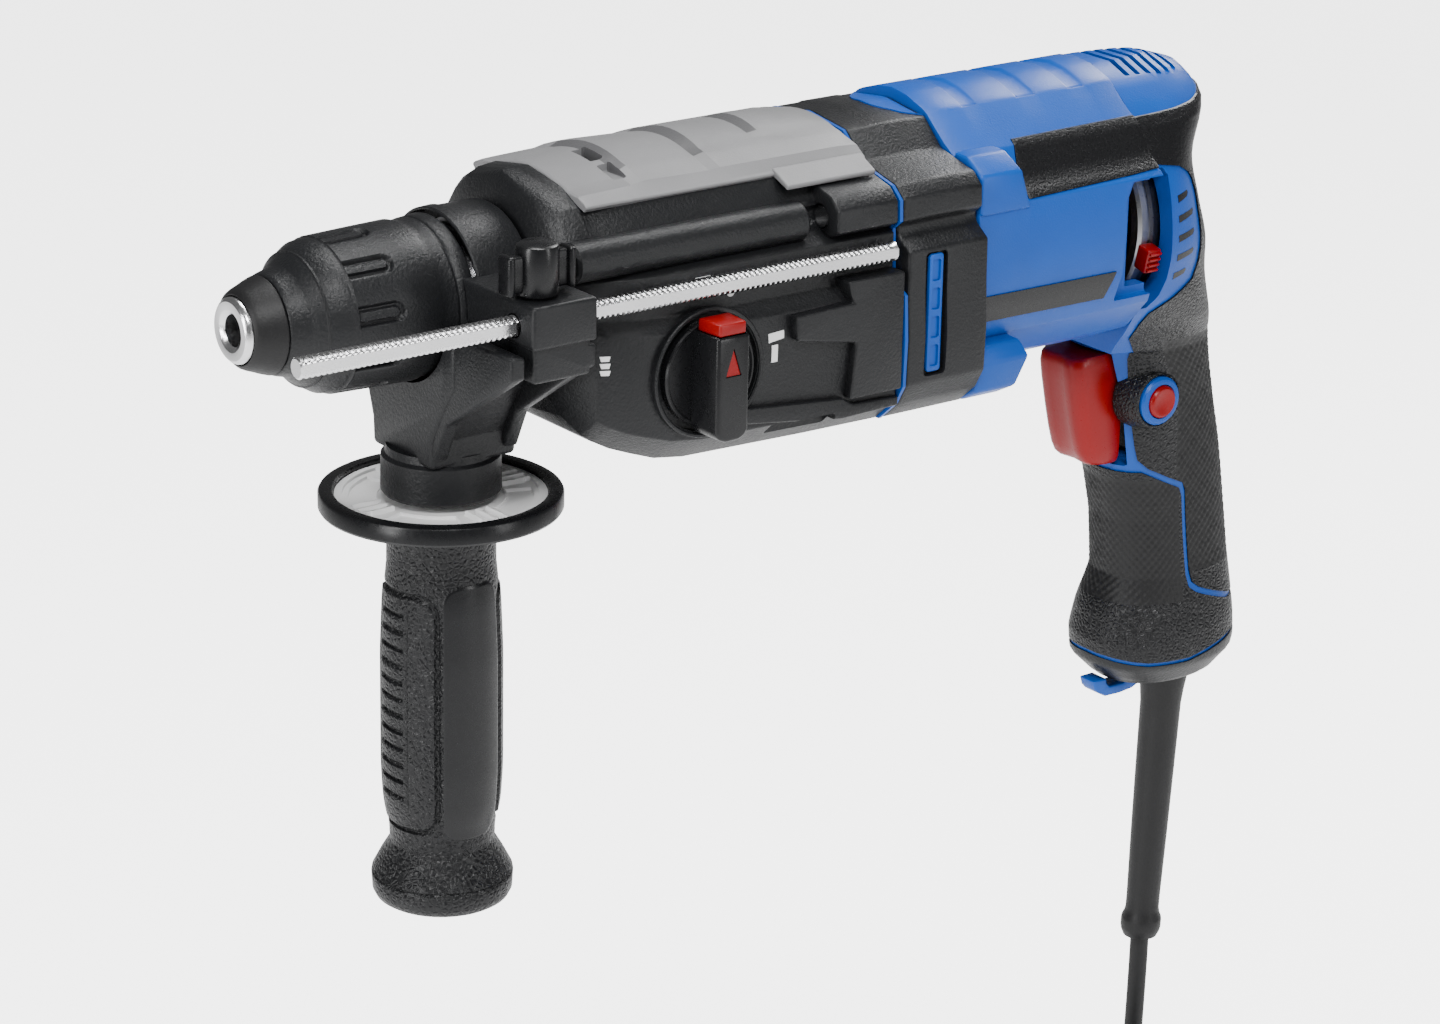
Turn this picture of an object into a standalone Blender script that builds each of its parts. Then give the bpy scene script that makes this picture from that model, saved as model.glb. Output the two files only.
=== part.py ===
"""Rotary hammer with SDS-plus chuck, side handle and depth rod, as an assembly of separate pieces.

The dimensions below are millimetres in the hammer's own frame: the spindle is the X axis, its front
face is x = 0, +X runs to the rear, +Z is up and -Y is the side with the mode knob. HAMMER_FRAME
carries every piece, so that the middle of the main grip lands on the world's origin.
"""

import math

import bmesh
import bpy
from mathutils import Euler, Matrix, Vector

MM = 0.001
GAP = 0.3                       # clearance between neighbouring solids

# Where the main grip's middle lies in the hammer's frame
GRIP_X = 388.0
GRIP_Z = -125.0

# Axes inside the housings
MOTOR_Z = -14.0
LAYSHAFT_Z = -33.0

# Gear train: motor pinion -> layshaft gear, layshaft pinion -> spindle gear
PINION_TEETH = 8
LAYSHAFT_GEAR_TEETH = 34
LAYSHAFT_PINION_TEETH = 11
SPINDLE_GEAR_TEETH = 45
MOTOR_MODULE = 2 * (MOTOR_Z - LAYSHAFT_Z) / (PINION_TEETH + LAYSHAFT_GEAR_TEETH)
SPINDLE_MODULE = 2 * -LAYSHAFT_Z / (LAYSHAFT_PINION_TEETH + SPINDLE_GEAR_TEETH)
BACKLASH = 0.16                 # taken off each side of a tooth

# Spindle and chuck
BIT_RADIUS = 5.1
HOLDER_RADIUS = 12.4
TUBE_RADIUS = 15.0
TUBE_BORE = 12.0
BALL_X = 28.0

# Housings, by their stations along the spindle
NECK_RADIUS = 21.5
NECK_FRONT = 78.5
GEAR_HOUSING_FRONT = 96.0
GEAR_HOUSING_REAR = 220.4
GASKET_THICKNESS = 1.2
FLANGE_FRONT = GEAR_HOUSING_REAR + GASKET_THICKNESS + 2 * GAP
FLANGE_REAR = 255.8
MOTOR_HOUSING_REAR = 337.7
SHELL_FRONT = MOTOR_HOUSING_REAR + GAP

# Side handle, depth rod and mode knob
SIDE_HANDLE_X = 76.3
ROD_Y, ROD_Z, ROD_RADIUS = -51.5, 3.5, 3.4
ROD_FRONT, ROD_REAR = -8.0, 217.0
WING_X, WING_Z = 77.5, 12.0
KNOB_X, KNOB_Z, KNOB_RADIUS = 144.0, -25.0, 21.0
SIDE_FACE_Y = -50.5

# Main grip
TRIGGER_TOP, TRIGGER_BOTTOM = -66.0, -107.5
LOCK_X, LOCK_Z = 364.5, -82.5
RUBBER_TOP, RUBBER_BOTTOM = -114.0, -178.0
RUBBER_THICKNESS = 2.2

# Cord
CORD_RADIUS = 3.7
RELIEF_TOP = (396.0, -196.6)
RELIEF_END = (391.5, -306.0)
HANK_X, HANK_TOP = 361.0, -352.0
HANK_BEND, HANK_STRAIGHT, HANK_DEPTH = 26.0, 80.0, 45.5
HANK_Y = -18.5

STEPS = 24


# ---------------------------------------------------------------- scene and helpers

def clear_scene():
    for obj in list(bpy.data.objects):
        bpy.data.objects.remove(obj, do_unlink=True)


def collection(name):
    made = bpy.data.collections.new(name)
    bpy.context.scene.collection.children.link(made)
    return made


clear_scene()
PARTS = collection("rotary_hammer")
CUTTERS = collection("cutters")
HAMMER_FRAME = bpy.data.objects.new("hammer_frame", None)
HAMMER_FRAME.location = (-GRIP_X * MM, 0.0, -GRIP_Z * MM)
PARTS.objects.link(HAMMER_FRAME)


def material(name, colour, roughness, metallic=0.0):
    made = bpy.data.materials.new(name)
    made.use_nodes = True
    shader = made.node_tree.nodes["Principled BSDF"]
    shader.inputs["Base Color"].default_value = (*colour, 1.0)
    shader.inputs["Roughness"].default_value = roughness
    shader.inputs["Metallic"].default_value = metallic
    made.diffuse_color = (*colour, 1.0)
    return made


STEEL = material("hardened_steel", (0.42, 0.42, 0.43), 0.3, 1.0)
BRIGHT_STEEL = material("bright_steel", (0.75, 0.75, 0.76), 0.22, 1.0)
BLACK_PLASTIC = material("black_plastic", (0.018, 0.019, 0.021), 0.5)
GREY_PLASTIC = material("grey_plastic", (0.33, 0.33, 0.335), 0.42)
BLUE_PLASTIC = material("blue_plastic", (0.004, 0.12, 0.55), 0.42)
RED_PLASTIC = material("red_plastic", (0.55, 0.004, 0.008), 0.38)
WHITE_PLASTIC = material("white_plastic", (0.78, 0.78, 0.78), 0.45)
RUBBER = material("black_rubber", (0.014, 0.014, 0.015), 0.75)
COPPER = material("copper", (0.7, 0.3, 0.13), 0.35, 1.0)
ALUMINIUM = material("cast_aluminium", (0.55, 0.55, 0.56), 0.45, 1.0)
CARBON = material("carbon", (0.03, 0.03, 0.03), 0.6)
BEARING_STEEL = material("bearing_steel", (0.6, 0.6, 0.62), 0.25, 1.0)


def place(obj, paint, cutter=False):
    """Puts an object in its collection, under the hammer's frame."""
    obj.parent = HAMMER_FRAME
    if cutter:
        CUTTERS.objects.link(obj)
        obj.hide_render = True
        obj.display_type = "WIRE"
        return obj
    PARTS.objects.link(obj)
    if not obj.data.materials:
        obj.data.materials.append(paint)
    obj.data.shade_smooth()
    obj.data.set_sharp_from_angle(angle=math.radians(35))
    return obj


# A turned piece's stations run along +X, along +Y or down along -Z
TURNS = {
    "X": Euler((0.0, -math.pi / 2, 0.0)),
    "Y": Euler((math.pi / 2, 0.0, 0.0)),
    "DOWN": Euler((0.0, 0.0, 0.0)),
}


def turned(name, profile, paint=None, at=(0, 0, 0), along="X", steps=STEPS, cutter=False):
    """A Screw of a profile of (station, radius) points: outer side first, then back along the bore."""
    mesh = bpy.data.meshes.new(name)
    points = [(radius * MM, 0.0, -station * MM) for station, radius in profile]
    closed = profile[0][1] > 0 or profile[-1][1] > 0
    edges = [(i, i + 1) for i in range(len(points) - 1)]
    if closed:
        edges.append((len(points) - 1, 0))
    mesh.from_pydata(points, edges, [])
    obj = bpy.data.objects.new(name, mesh)
    obj.rotation_euler = TURNS[along]
    obj.location = Vector(at) * MM
    place(obj, paint, cutter)
    screw = obj.modifiers.new("turn", "SCREW")
    screw.axis = "Z"
    screw.steps = screw.render_steps = steps
    screw.use_merge_vertices = True
    screw.merge_threshold = 0.00001
    return obj


def solid_turned(name, outer, paint=None, **where):
    """A turned piece with no bore: its outline starts and ends on the axis."""
    profile = [(outer[0][0], 0.0), *outer, (outer[-1][0], 0.0)]
    return turned(name, profile, paint, **where)


def ring(name, front, rear, inner, outer, paint=None, **where):
    profile = [(front, outer), (rear, outer), (rear, inner), (front, inner)]
    return turned(name, profile, paint, **where)


def rod(name, front, rear, radius, paint=None, **where):
    return solid_turned(name, [(front, radius), (rear, radius)], paint, **where)


def block(name, low, high, paint=None, bevel=0.0, cutter=False):
    """A box from its low to its high corner, with rounded edges if a bevel is given."""
    low, high = Vector(low) * MM, Vector(high) * MM
    mesh = bpy.data.meshes.new(name)
    shape = bmesh.new()
    bmesh.ops.create_cube(shape, size=1.0, matrix=Matrix.Diagonal((*(high - low), 1.0)))
    shape.to_mesh(mesh)
    shape.free()
    obj = bpy.data.objects.new(name, mesh)
    obj.location = (low + high) / 2
    place(obj, paint, cutter)
    if bevel:
        round_edges = obj.modifiers.new("round", "BEVEL")
        round_edges.width = bevel * MM
        round_edges.segments = 2
    return obj


# A plate's outline lies in the named plane; its thickness runs along the plane's normal
PLANES = {
    "XZ": Matrix(((1, 0, 0), (0, 0, -1), (0, 1, 0))).to_4x4(),
    "YZ": Matrix(((0, 0, 1), (1, 0, 0), (0, 1, 0))).to_4x4(),
    "XY": Matrix.Identity(4),
}


def plate(name, outline, low, high, plane, paint=None, holes=(), at=(0, 0, 0), cutter=False):
    """A flat outline with holes, thickened from low to high along the plane's normal."""
    curve = bpy.data.curves.new(name, "CURVE")
    curve.dimensions = "2D"
    curve.fill_mode = "BOTH"
    curve.extrude = (high - low) / 2 * MM
    for loop in (outline, *holes):
        spline = curve.splines.new("POLY")
        spline.points.add(len(loop) - 1)
        for point, (u, v) in zip(spline.points, loop):
            point.co = (u * MM, v * MM, 0.0, 1.0)
        spline.use_cyclic_u = True
    flat = bpy.data.objects.new(name + "_outline", curve)
    bpy.context.scene.collection.objects.link(flat)
    bpy.context.view_layer.update()
    mesh = bpy.data.meshes.new_from_object(flat.evaluated_get(bpy.context.evaluated_depsgraph_get()))
    mesh.name = name
    bpy.data.objects.remove(flat)
    shape = bmesh.new()
    shape.from_mesh(mesh)
    bmesh.ops.remove_doubles(shape, verts=shape.verts, dist=0.000005)
    bmesh.ops.recalc_face_normals(shape, faces=shape.faces)
    shape.to_mesh(mesh)
    shape.free()
    obj = bpy.data.objects.new(name, mesh)
    turn = PLANES[plane]
    middle = turn.to_3x3() @ Vector((0, 0, (low + high) / 2))
    if plane == "XZ":
        middle = Vector((0, (low + high) / 2, 0))
    obj.matrix_local = Matrix.Translation((Vector(at) + middle) * MM) @ turn
    return place(obj, paint, cutter)


def loft(name, rings, paint=None, cutter=False):
    """A skin over rings with the same number of points, closed by a face at each end."""
    shape = bmesh.new()
    made = [[shape.verts.new(Vector(point) * MM) for point in points] for points in rings]
    count = len(rings[0])
    for one, two in zip(made, made[1:]):
        for i in range(count):
            j = (i + 1) % count
            shape.faces.new((one[i], one[j], two[j], two[i]))
    shape.faces.new(made[0][::-1])
    shape.faces.new(made[-1])
    bmesh.ops.recalc_face_normals(shape, faces=shape.faces)
    mesh = bpy.data.meshes.new(name)
    shape.to_mesh(mesh)
    shape.free()
    return place(bpy.data.objects.new(name, mesh), paint, cutter)


def boolean(target, tool, operation):
    step = target.modifiers.new(operation.lower(), "BOOLEAN")
    step.operation = operation
    step.object = tool
    step.solver = "EXACT"


def cut(target, *tools):
    for tool in tools:
        boolean(target, tool, "DIFFERENCE")


def join(target, *tools):
    for tool in tools:
        boolean(target, tool, "UNION")


def circle(radius, count=STEPS, middle=(0.0, 0.0)):
    turns = [2 * math.pi * i / count for i in range(count)]
    return [(middle[0] + radius * math.cos(a), middle[1] + radius * math.sin(a)) for a in turns]


def mirrored(half):
    """A closed outline from its half at y >= 0, which runs from the bottom centre to the top centre."""
    return [*half, *[(-y, z) for y, z in half[-2:0:-1]]]


def cross_section(x, half):
    return [(x, y, z) for y, z in mirrored(half)]


def inset(half, wall):
    """The half outline moved towards its middle by about the wall's thickness."""
    middle = (half[0][1] + half[-1][1]) / 2
    height = (half[-1][1] - half[0][1]) / 2
    width = max(y for y, _ in half)
    return [(y * (width - wall) / width, middle + (z - middle) * (height - wall) / height) for y, z in half]


# ---------------------------------------------------------------- gears

def gear_outline(teeth, module, phase=0.0):
    """Straight-flanked stub teeth: root, root, tip and tip points for each tooth."""
    pitch = teeth * module / 2
    tip, root = pitch + 0.72 * module, pitch - 0.95 * module
    half_pitch_angle = (math.pi * module / 4 - BACKLASH) / pitch
    outline = []
    for tooth in range(teeth):
        middle = 2 * math.pi * tooth / teeth + phase
        lean = 0.36 * module / pitch
        for side, radius, half in (
            (-1, root, half_pitch_angle + lean),
            (-1, tip, half_pitch_angle - 0.75 * lean),
            (1, tip, half_pitch_angle - 0.75 * lean),
            (1, root, half_pitch_angle + lean),
        ):
            angle = middle + side * half
            outline.append((radius * math.cos(angle), radius * math.sin(angle)))
    return outline


def gear(name, teeth, module, front, rear, axis_z, bore=None, phase=0.0, cutter=False):
    holes = [circle(bore, 24)] if bore else []
    outline = gear_outline(teeth, module, phase)
    return plate(name, outline, front, rear, "YZ", STEEL, holes=holes, at=(0, 0, axis_z), cutter=cutter)


# ---------------------------------------------------------------- chuck and spindle

def make_spindle():
    holder = turned("tool_holder", [
        (0, 9.6), (0.9, 10.5), (9.5, 10.5), (9.5, HOLDER_RADIUS), (95.5, HOLDER_RADIUS),
        (95.5, TUBE_RADIUS), (168, TUBE_RADIUS), (168, TUBE_BORE), (98, TUBE_BORE), (98, 8.2),
        (72, 8.2), (70, BIT_RADIUS), (1.3, BIT_RADIUS), (0, 6.4),
    ], STEEL)
    for side in (-1, 1):
        low = min(side * 4.0, side * 7.2)
        key = block(f"bit_key_{side}", (-1, low, -1.3), (50, low + 3.2, 1.3), cutter=True)
        cut(holder, key)
        pocket = rod(f"ball_pocket_{side}", 0, 16, 3.5, at=(BALL_X, 0, side * 8 + 8), along="DOWN",
                     steps=16, cutter=True)
        cut(holder, pocket)
    join(holder, ring("spring_seat", 58.5, 60.2, 12.0, 19.5, cutter=True))
    make_ball("locking_ball", 9.5)
    turned("dust_cap", [
        (2.2, 11.4), (3.2, 12.4), (6.8, 13.8), (10.5, 15.2), (11.8, 15.5),
        (11.8, 12.8), (9.1, 12.8), (9.1, 10.9), (2.2, 10.9),
    ], RUBBER)
    gear("spindle_gear", SPINDLE_GEAR_TEETH, SPINDLE_MODULE, 134, 146, 0.0, bore=15.4,
         phase=-math.pi / 2)


def make_ball(name, z):
    mesh = bpy.data.meshes.new(name)
    shape = bmesh.new()
    bmesh.ops.create_uvsphere(shape, u_segments=12, v_segments=8, radius=3.1 * MM)
    shape.to_mesh(mesh)
    shape.free()
    ball = bpy.data.objects.new(name, mesh)
    ball.location = (BALL_X * MM, 0.0, z * MM)
    place(ball, BEARING_STEEL)


def make_sleeve():
    turned("chuck_sleeve", [
        (12.3, 15.8), (18.2, 17.3), (27.5, 23.8), (30.5, 24.2), (47, 25.1), (60, 25.5), (63.3, 24.7),
        (67.2, 25.3), (72.8, 25.7), (72.8, 21.3), (22.5, 21.3), (19, 13.3), (12.3, 13.3),
    ], BLACK_PLASTIC)
    ring("lock_ring", 25, 32, 13.0, 20.9, STEEL)
    coil_spring("sleeve_spring", 33.5, 57.5, 16.2, 1.1, 4)


def coil_spring(name, front, rear, radius, wire, turns):
    """A helical spring about the spindle, as a bevelled curve."""
    curve = bpy.data.curves.new(name, "CURVE")
    curve.dimensions = "3D"
    curve.bevel_depth = wire * MM
    curve.bevel_resolution = 1
    curve.use_fill_caps = True
    count = turns * 10
    spline = curve.splines.new("POLY")
    spline.points.add(count)
    start, span = front + wire, rear - front - 2 * wire
    for i, point in enumerate(spline.points):
        angle = 2 * math.pi * turns * i / count
        y, z = radius * math.cos(angle), radius * math.sin(angle)
        point.co = ((start + span * i / count) * MM, y * MM, z * MM, 1.0)
    obj = bpy.data.objects.new(name, curve)
    obj.parent = HAMMER_FRAME
    PARTS.objects.link(obj)
    curve.materials.append(BRIGHT_STEEL)


# ---------------------------------------------------------------- hammer mechanism

WRIST_X = 178.0


def make_hammer_mechanism():
    solid_turned("impact_bolt", [
        (63, 4.0), (64, 4.7), (76, 4.7), (76, 7.9), (84, 7.9), (84, 6.2), (95, 6.2),
    ], STEEL, steps=24)
    solid_turned("striker", [
        (102, 9), (103, 11.7), (109, 11.7), (109, 10.2), (112, 10.2), (112, 11.7), (122, 11.7),
    ], STEEL)
    piston = rod("piston", 136, 186, 11.7, ALUMINIUM)
    cut(piston, block("piston_slot", (170, -6, -13), (187, 6, 13), cutter=True))
    pin_slot = [(WRIST_X - 3.9, -4.9), (WRIST_X + 3.9, -4.9), (WRIST_X + 3.9, 3.9), (WRIST_X - 3.9, 3.9)]
    cut(piston, plate("wrist_slot", pin_slot, -13, 13, "XZ", cutter=True))

    wobble = ring("wobble_ring", -4, 4, 10.8, 15, STEEL, at=(WRIST_X, 0, LAYSHAFT_Z))
    finger = rod("wobble_finger", 0.5, -LAYSHAFT_Z - 12.5, 2.6, along="DOWN", at=(WRIST_X, 0, 0),
                 steps=16, cutter=True)
    pin = rod("wrist_pin", -10, 10, 3.6, at=(WRIST_X, 0, 0), along="Y", steps=20, cutter=True)
    join(wobble, finger, pin)


def make_layshaft():
    at = (0, 0, LAYSHAFT_Z)
    shaft = solid_turned("layshaft", [
        (119, 4.2), (120, 5), (171, 5), (171, 9.2), (185, 9.2), (185, 5), (219, 5),
    ], STEEL, at=at)
    join(shaft, gear("layshaft_pinion", LAYSHAFT_PINION_TEETH, SPINDLE_MODULE, 131, 149, LAYSHAFT_Z,
                     phase=math.pi / 2 + math.pi / LAYSHAFT_PINION_TEETH, cutter=True))
    gear("layshaft_gear", LAYSHAFT_GEAR_TEETH, MOTOR_MODULE, 196, 206, LAYSHAFT_Z, bore=5.3,
         phase=math.pi / 2)
    ring("layshaft_rear_bearing", 211.5, 218.5, 5.3, 11, BEARING_STEEL, at=at)


def make_motor():
    at = (0, 0, MOTOR_Z)
    shaft = rod("armature_shaft", 208, 369, 5, STEEL, at=at, steps=24)
    join(shaft, gear("motor_pinion", PINION_TEETH, MOTOR_MODULE, 195, 209, MOTOR_Z,
                     phase=-math.pi / 2 + math.pi / PINION_TEETH, cutter=True))
    ring("armature_core", 264, 312, 5.3, 22, STEEL, at=at)
    ring("armature_front_bearing", 226.5, 234.5, 5.3, 13, BEARING_STEEL, at=at)
    ring("armature_rear_bearing", 357.5, 365.5, 5.3, 11, BEARING_STEEL, at=at)
    ring("commutator", 334, 354, 5.3, 13, COPPER, at=at)
    plate("stator_core", circle(38.5), 262, 314, "YZ", STEEL, holes=[circle(23.2)], at=at)
    ring("field_winding", 314.4, 322, 25, 34, COPPER, at=at)
    make_fan()


def make_fan():
    """A disc with straight blades on its front."""
    blades, outline = 14, []
    for i in range(blades):
        middle = 2 * math.pi * i / blades
        for radius, half in ((12, 0.17), (33, 0.03), (33, -0.03), (12, -0.17)):
            angle = middle - half
            outline.append((radius * math.cos(angle), radius * math.sin(angle)))
    at = (0, 0, MOTOR_Z)
    fan = plate("cooling_fan", circle(34), 251, 253, "YZ", BLACK_PLASTIC, holes=[circle(5.3, 24)], at=at)
    star = plate("fan_blades", outline, 241, 251.5, "YZ", holes=[circle(5.3, 24)], at=at, cutter=True)
    join(fan, star)


def make_brushes():
    at = (0, 0, MOTOR_Z)
    carrier = turned("brush_ring", [
        (339, 35.3), (341.5, 35.3), (341.5, 34), (343.5, 34), (343.5, 35.3), (346, 35.3), (346, 34),
        (349, 34), (349, 35.3), (352, 35.3), (352, 31), (339, 31),
    ], GREY_PLASTIC, at=at)
    for name, side in (("left", -1), ("right", 1)):
        holder = block(f"brush_holder_{name}", (339.5, 18.5, -4.5), (351.5, 32, 4.5), cutter=True)
        brush = block(f"carbon_brush_{name}", (342, 13.3, -2.6), (349, 26, 2.6), CARBON)
        hole = block(f"brush_hole_{name}", (341.6, 12, -3.0), (349.4, 26.4, 3.0), cutter=True)
        for piece in (holder, brush, hole):
            spin_about_motor(piece, 0.0 if side > 0 else math.pi)
        tab = block(f"reversing_tab_{name}", (339.4, 34.5, -4.5), (351.6, 42.5, 4.5), bevel=1.0, cutter=True)
        spin_about_motor(tab, math.radians(14 if side > 0 else 194))
        join(carrier, holder, tab)
        cut(carrier, hole)


def spin_about_motor(obj, angle):
    """Turns a piece modelled beside the X axis round to its place beside the motor's axis."""
    spin = Matrix.Rotation(angle, 4, "X")
    lift = Matrix.Translation((0, 0, MOTOR_Z * MM))
    obj.matrix_local = lift @ spin @ Matrix.LocRotScale(obj.location, obj.rotation_euler, None)


# ---------------------------------------------------------------- gear housing

def round_half(radius):
    """Twelve points of a half circle, matched to the twelve of the housing's half outline."""
    angles = (-90, -62, -40, -24, -10, 0, 12, 26, 40, 55, 70, 90)
    return [(radius * math.cos(math.radians(a)), radius * math.sin(math.radians(a))) for a in angles]


HOUSING_HALF = [
    (0, -57), (40, -57), (50, -48), (50.5, -25), (50, -11), (46.5, -6), (46.5, 8), (38, 12),
    (37, 20), (31, 28.3), (20, 32.3), (0, 32.3),
]
CAVITY_HALF = [
    (0, -53), (36, -53), (45, -46), (46, -25), (45.5, -13), (42.5, -8), (42.5, 4), (34, 8),
    (33, 17), (27, 25), (17, 29.2), (0, 29.2),
]
FLANGE_HALF = [
    (0, -57), (42, -57), (50, -50), (54, -43), (54.5, -27), (53.5, -12), (47, -8), (46.2, 9),
    (49.8, 12), (49.5, 19), (45, 23), (28, 27), (18.8, 35.6), (0, 38),
]


def scaled(half, width, bottom, top):
    return [(y * width, z * (bottom if z < 0 else top)) for y, z in half]


def make_gear_housing():
    housing = loft("gear_housing", [
        cross_section(GEAR_HOUSING_FRONT, round_half(29)),
        cross_section(99, round_half(36)),
        cross_section(106, scaled(HOUSING_HALF, 0.86, 0.76, 0.98)),
        cross_section(122, scaled(HOUSING_HALF, 0.97, 0.90, 1.0)),
        cross_section(140, scaled(HOUSING_HALF, 1.0, 0.97, 1.0)),
        cross_section(190, HOUSING_HALF),
        cross_section(GEAR_HOUSING_REAR, scaled(HOUSING_HALF, 1.02, 1.0, 1.0)),
    ], BLACK_PLASTIC)
    cavity = loft("gear_cavity", [
        cross_section(101, scaled(CAVITY_HALF, 0.72, 0.58, 0.85)),
        cross_section(118, scaled(CAVITY_HALF, 0.94, 0.88, 0.99)),
        cross_section(140, scaled(CAVITY_HALF, 0.99, 0.97, 1.0)),
        cross_section(222, CAVITY_HALF),
    ], cutter=True)
    cut(housing, cavity)
    for side in (-1, 1):
        boss = rod(f"upper_boss_{side}", 97, 220.4, 6.5, at=(0, side * 40, 15.5), steps=20, cutter=True)
        low = rod(f"lower_boss_{side}", 188, 220.4, 6.5, at=(0, side * 42, -46.5), steps=20, cutter=True)
        join(housing, boss, low)
    join(housing, rod("neck_tube", NECK_FRONT, 100, NECK_RADIUS, cutter=True))
    cut(housing, rod("neck_bore", 70, 102, 18.6, cutter=True))
    cut(housing, rod("knob_hole", -60, -30, 6.2, at=(KNOB_X, 0, KNOB_Z), along="Y", cutter=True))
    ring("spindle_front_bearing", 81, 93, 12.8, 18.3, BEARING_STEEL)
    housing_screws()
    return housing


SCREW_PLACES = {"left": (-40, 15.5), "right": (40, 15.5)}
SCREW_HEAD_X = 196.0
SCREW_END = 250.0


def housing_screws():
    for name, (y, z) in SCREW_PLACES.items():
        solid_turned(f"housing_screw_{name}", [
            (SCREW_HEAD_X, 3.6), (SCREW_HEAD_X + 3.5, 3.6), (SCREW_HEAD_X + 3.5, 2.1), (SCREW_END, 2.1),
        ], BRIGHT_STEEL, at=(0, y, z), steps=12)


def screw_holes(target):
    """Counterbored holes for the long screws, from the head's seat to past the flange."""
    seat = SCREW_HEAD_X + 4.2
    for name, (y, z) in SCREW_PLACES.items():
        hole = solid_turned(f"{target.name}_screw_{name}", [
            (180, 4.2), (seat, 4.2), (seat, 2.5), (SCREW_END + 0.8, 2.5),
        ], at=(0, y, z), steps=16, cutter=True)
        cut(target, hole)


def make_top_cover():
    """A curved grey cover over the housing's roof, stepped by three raised bands."""
    def station(x, edge, ridge):
        under = [(0, 32.6), (20.1, 32.6), (31.1, 28.7)]
        over = [(31.9, 29.4), (26, edge - 1.4), (18, edge), (0, ridge)]
        half = under + over
        left = [(-y, z) for y, z in half]
        return [(x, y, z) for y, z in [*half[:-1], half[-1], *reversed(left[1:-1])]]

    loft("top_cover", [
        station(110, 34.2, 36.2), station(130, 35.0, 37.6), station(134, 36.4, 39.2),
        station(162, 35.2, 38.0), station(166, 36.9, 40.0), station(188, 36.3, 39.4),
        station(192, 37.2, 40.5), station(GEAR_HOUSING_REAR, 35.4, 38.2),
    ], GREY_PLASTIC)


def make_inner_supports():
    body = [(-42, -43), (-32, -51), (32, -51), (42, -43), (42, -14), (30, -2), (26, 20), (-26, 20),
            (-30, -2), (-42, -14)]
    plate("spindle_bracket", body, 152, 159, "YZ", ALUMINIUM,
          holes=[circle(TUBE_RADIUS + 0.4, 28), circle(8, 20, (0, LAYSHAFT_Z))])
    carrier = [(-34, -44), (-28, -51), (28, -51), (34, -44), (41, -36), (41, -14), (30, 6), (20, 22),
               (-20, 22), (-30, 6), (-41, -14), (-41, -36)]
    plate("gear_carrier", carrier, 211.5, 218.5, "YZ", ALUMINIUM,
          holes=[circle(11.3, 24, (0, LAYSHAFT_Z)), circle(6.0, 20, (0, MOTOR_Z))])


# ---------------------------------------------------------------- flange and motor housing

def make_flange():
    first = GEAR_HOUSING_REAR + GAP
    plate("gasket", mirrored(FLANGE_HALF), first, first + GASKET_THICKNESS, "YZ", BLUE_PLASTIC,
          holes=[mirrored(inset(FLANGE_HALF, 5))])
    flange = loft("mid_flange", [
        cross_section(FLANGE_FRONT, FLANGE_HALF), cross_section(FLANGE_REAR, FLANGE_HALF),
    ], BLACK_PLASTIC)
    cut(flange, solid_turned("flange_room", [
        (221, 7), (226, 7), (226, 13.3), (237, 13.3), (237, 38), (257, 38),
    ], at=(0, 0, MOTOR_Z), cutter=True))
    for side in (-1, 1):
        low, high = sorted((side * 36, side * 56))
        cut(flange, block(f"vent_hole_{side}", (232.2, low, -38), (237.9, high, -2), cutter=True))
        low, high = sorted((side * 51.5, side * 56))
        cut(flange, block(f"vent_recess_{side}", (228.8, low, -41), (238.6, high, 1), cutter=True))
        vent_insert("vent_insert_left" if side < 0 else "vent_insert_right", side)
    return flange


def vent_insert(name, side):
    """A blue bar with four slots, set in the flange's recess."""
    low, high = sorted((side * 51.8, side * 54.6))
    frame = [(230.2, -40.5), (237.2, -40.5), (237.2, 0.5), (230.2, 0.5)]
    slots = [[(231.9, z), (235.5, z), (235.5, z + 7.5), (231.9, z + 7.5)] for z in (-38.5, -28.7, -18.9, -9.1)]
    plate(name, frame, low, high, "XZ", BLUE_PLASTIC, holes=slots)


MOTOR_HALF = [
    (0, -56.5), (18, -54.5), (33, -47.5), (43, -36), (48, -22), (49, -8), (47.5, 10), (39, 16),
    (33.5, 25), (28, 28.5), (18.6, 36.4), (0, 41.5),
]


def make_motor_housing():
    first = FLANGE_REAR + GAP
    housing = loft("motor_housing", [
        cross_section(first, MOTOR_HALF), cross_section(MOTOR_HOUSING_REAR, MOTOR_HALF),
    ], BLUE_PLASTIC)
    for side in (-1, 1):
        upper = [(side * y, z) for y, z in ((33, 26), (40, 26), (48, 21), (48.5, 8), (40, 8))]
        lower = [(side * y, z) for y, z in ((34, -36), (47, -38), (47, -53), (40, -60), (30, -56))]
        for name, outline, rear in (("upper", upper, 274), ("lower", lower, 290)):
            tool = plate(f"{name}_lug_{side}", outline, first + 0.01, rear, "YZ", cutter=True)
            join(housing, tool)
    cut(housing, rod("motor_room", 250, 340, 38.9, at=(0, 0, MOTOR_Z), cutter=True))


# ---------------------------------------------------------------- rear shells and main grip

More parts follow.
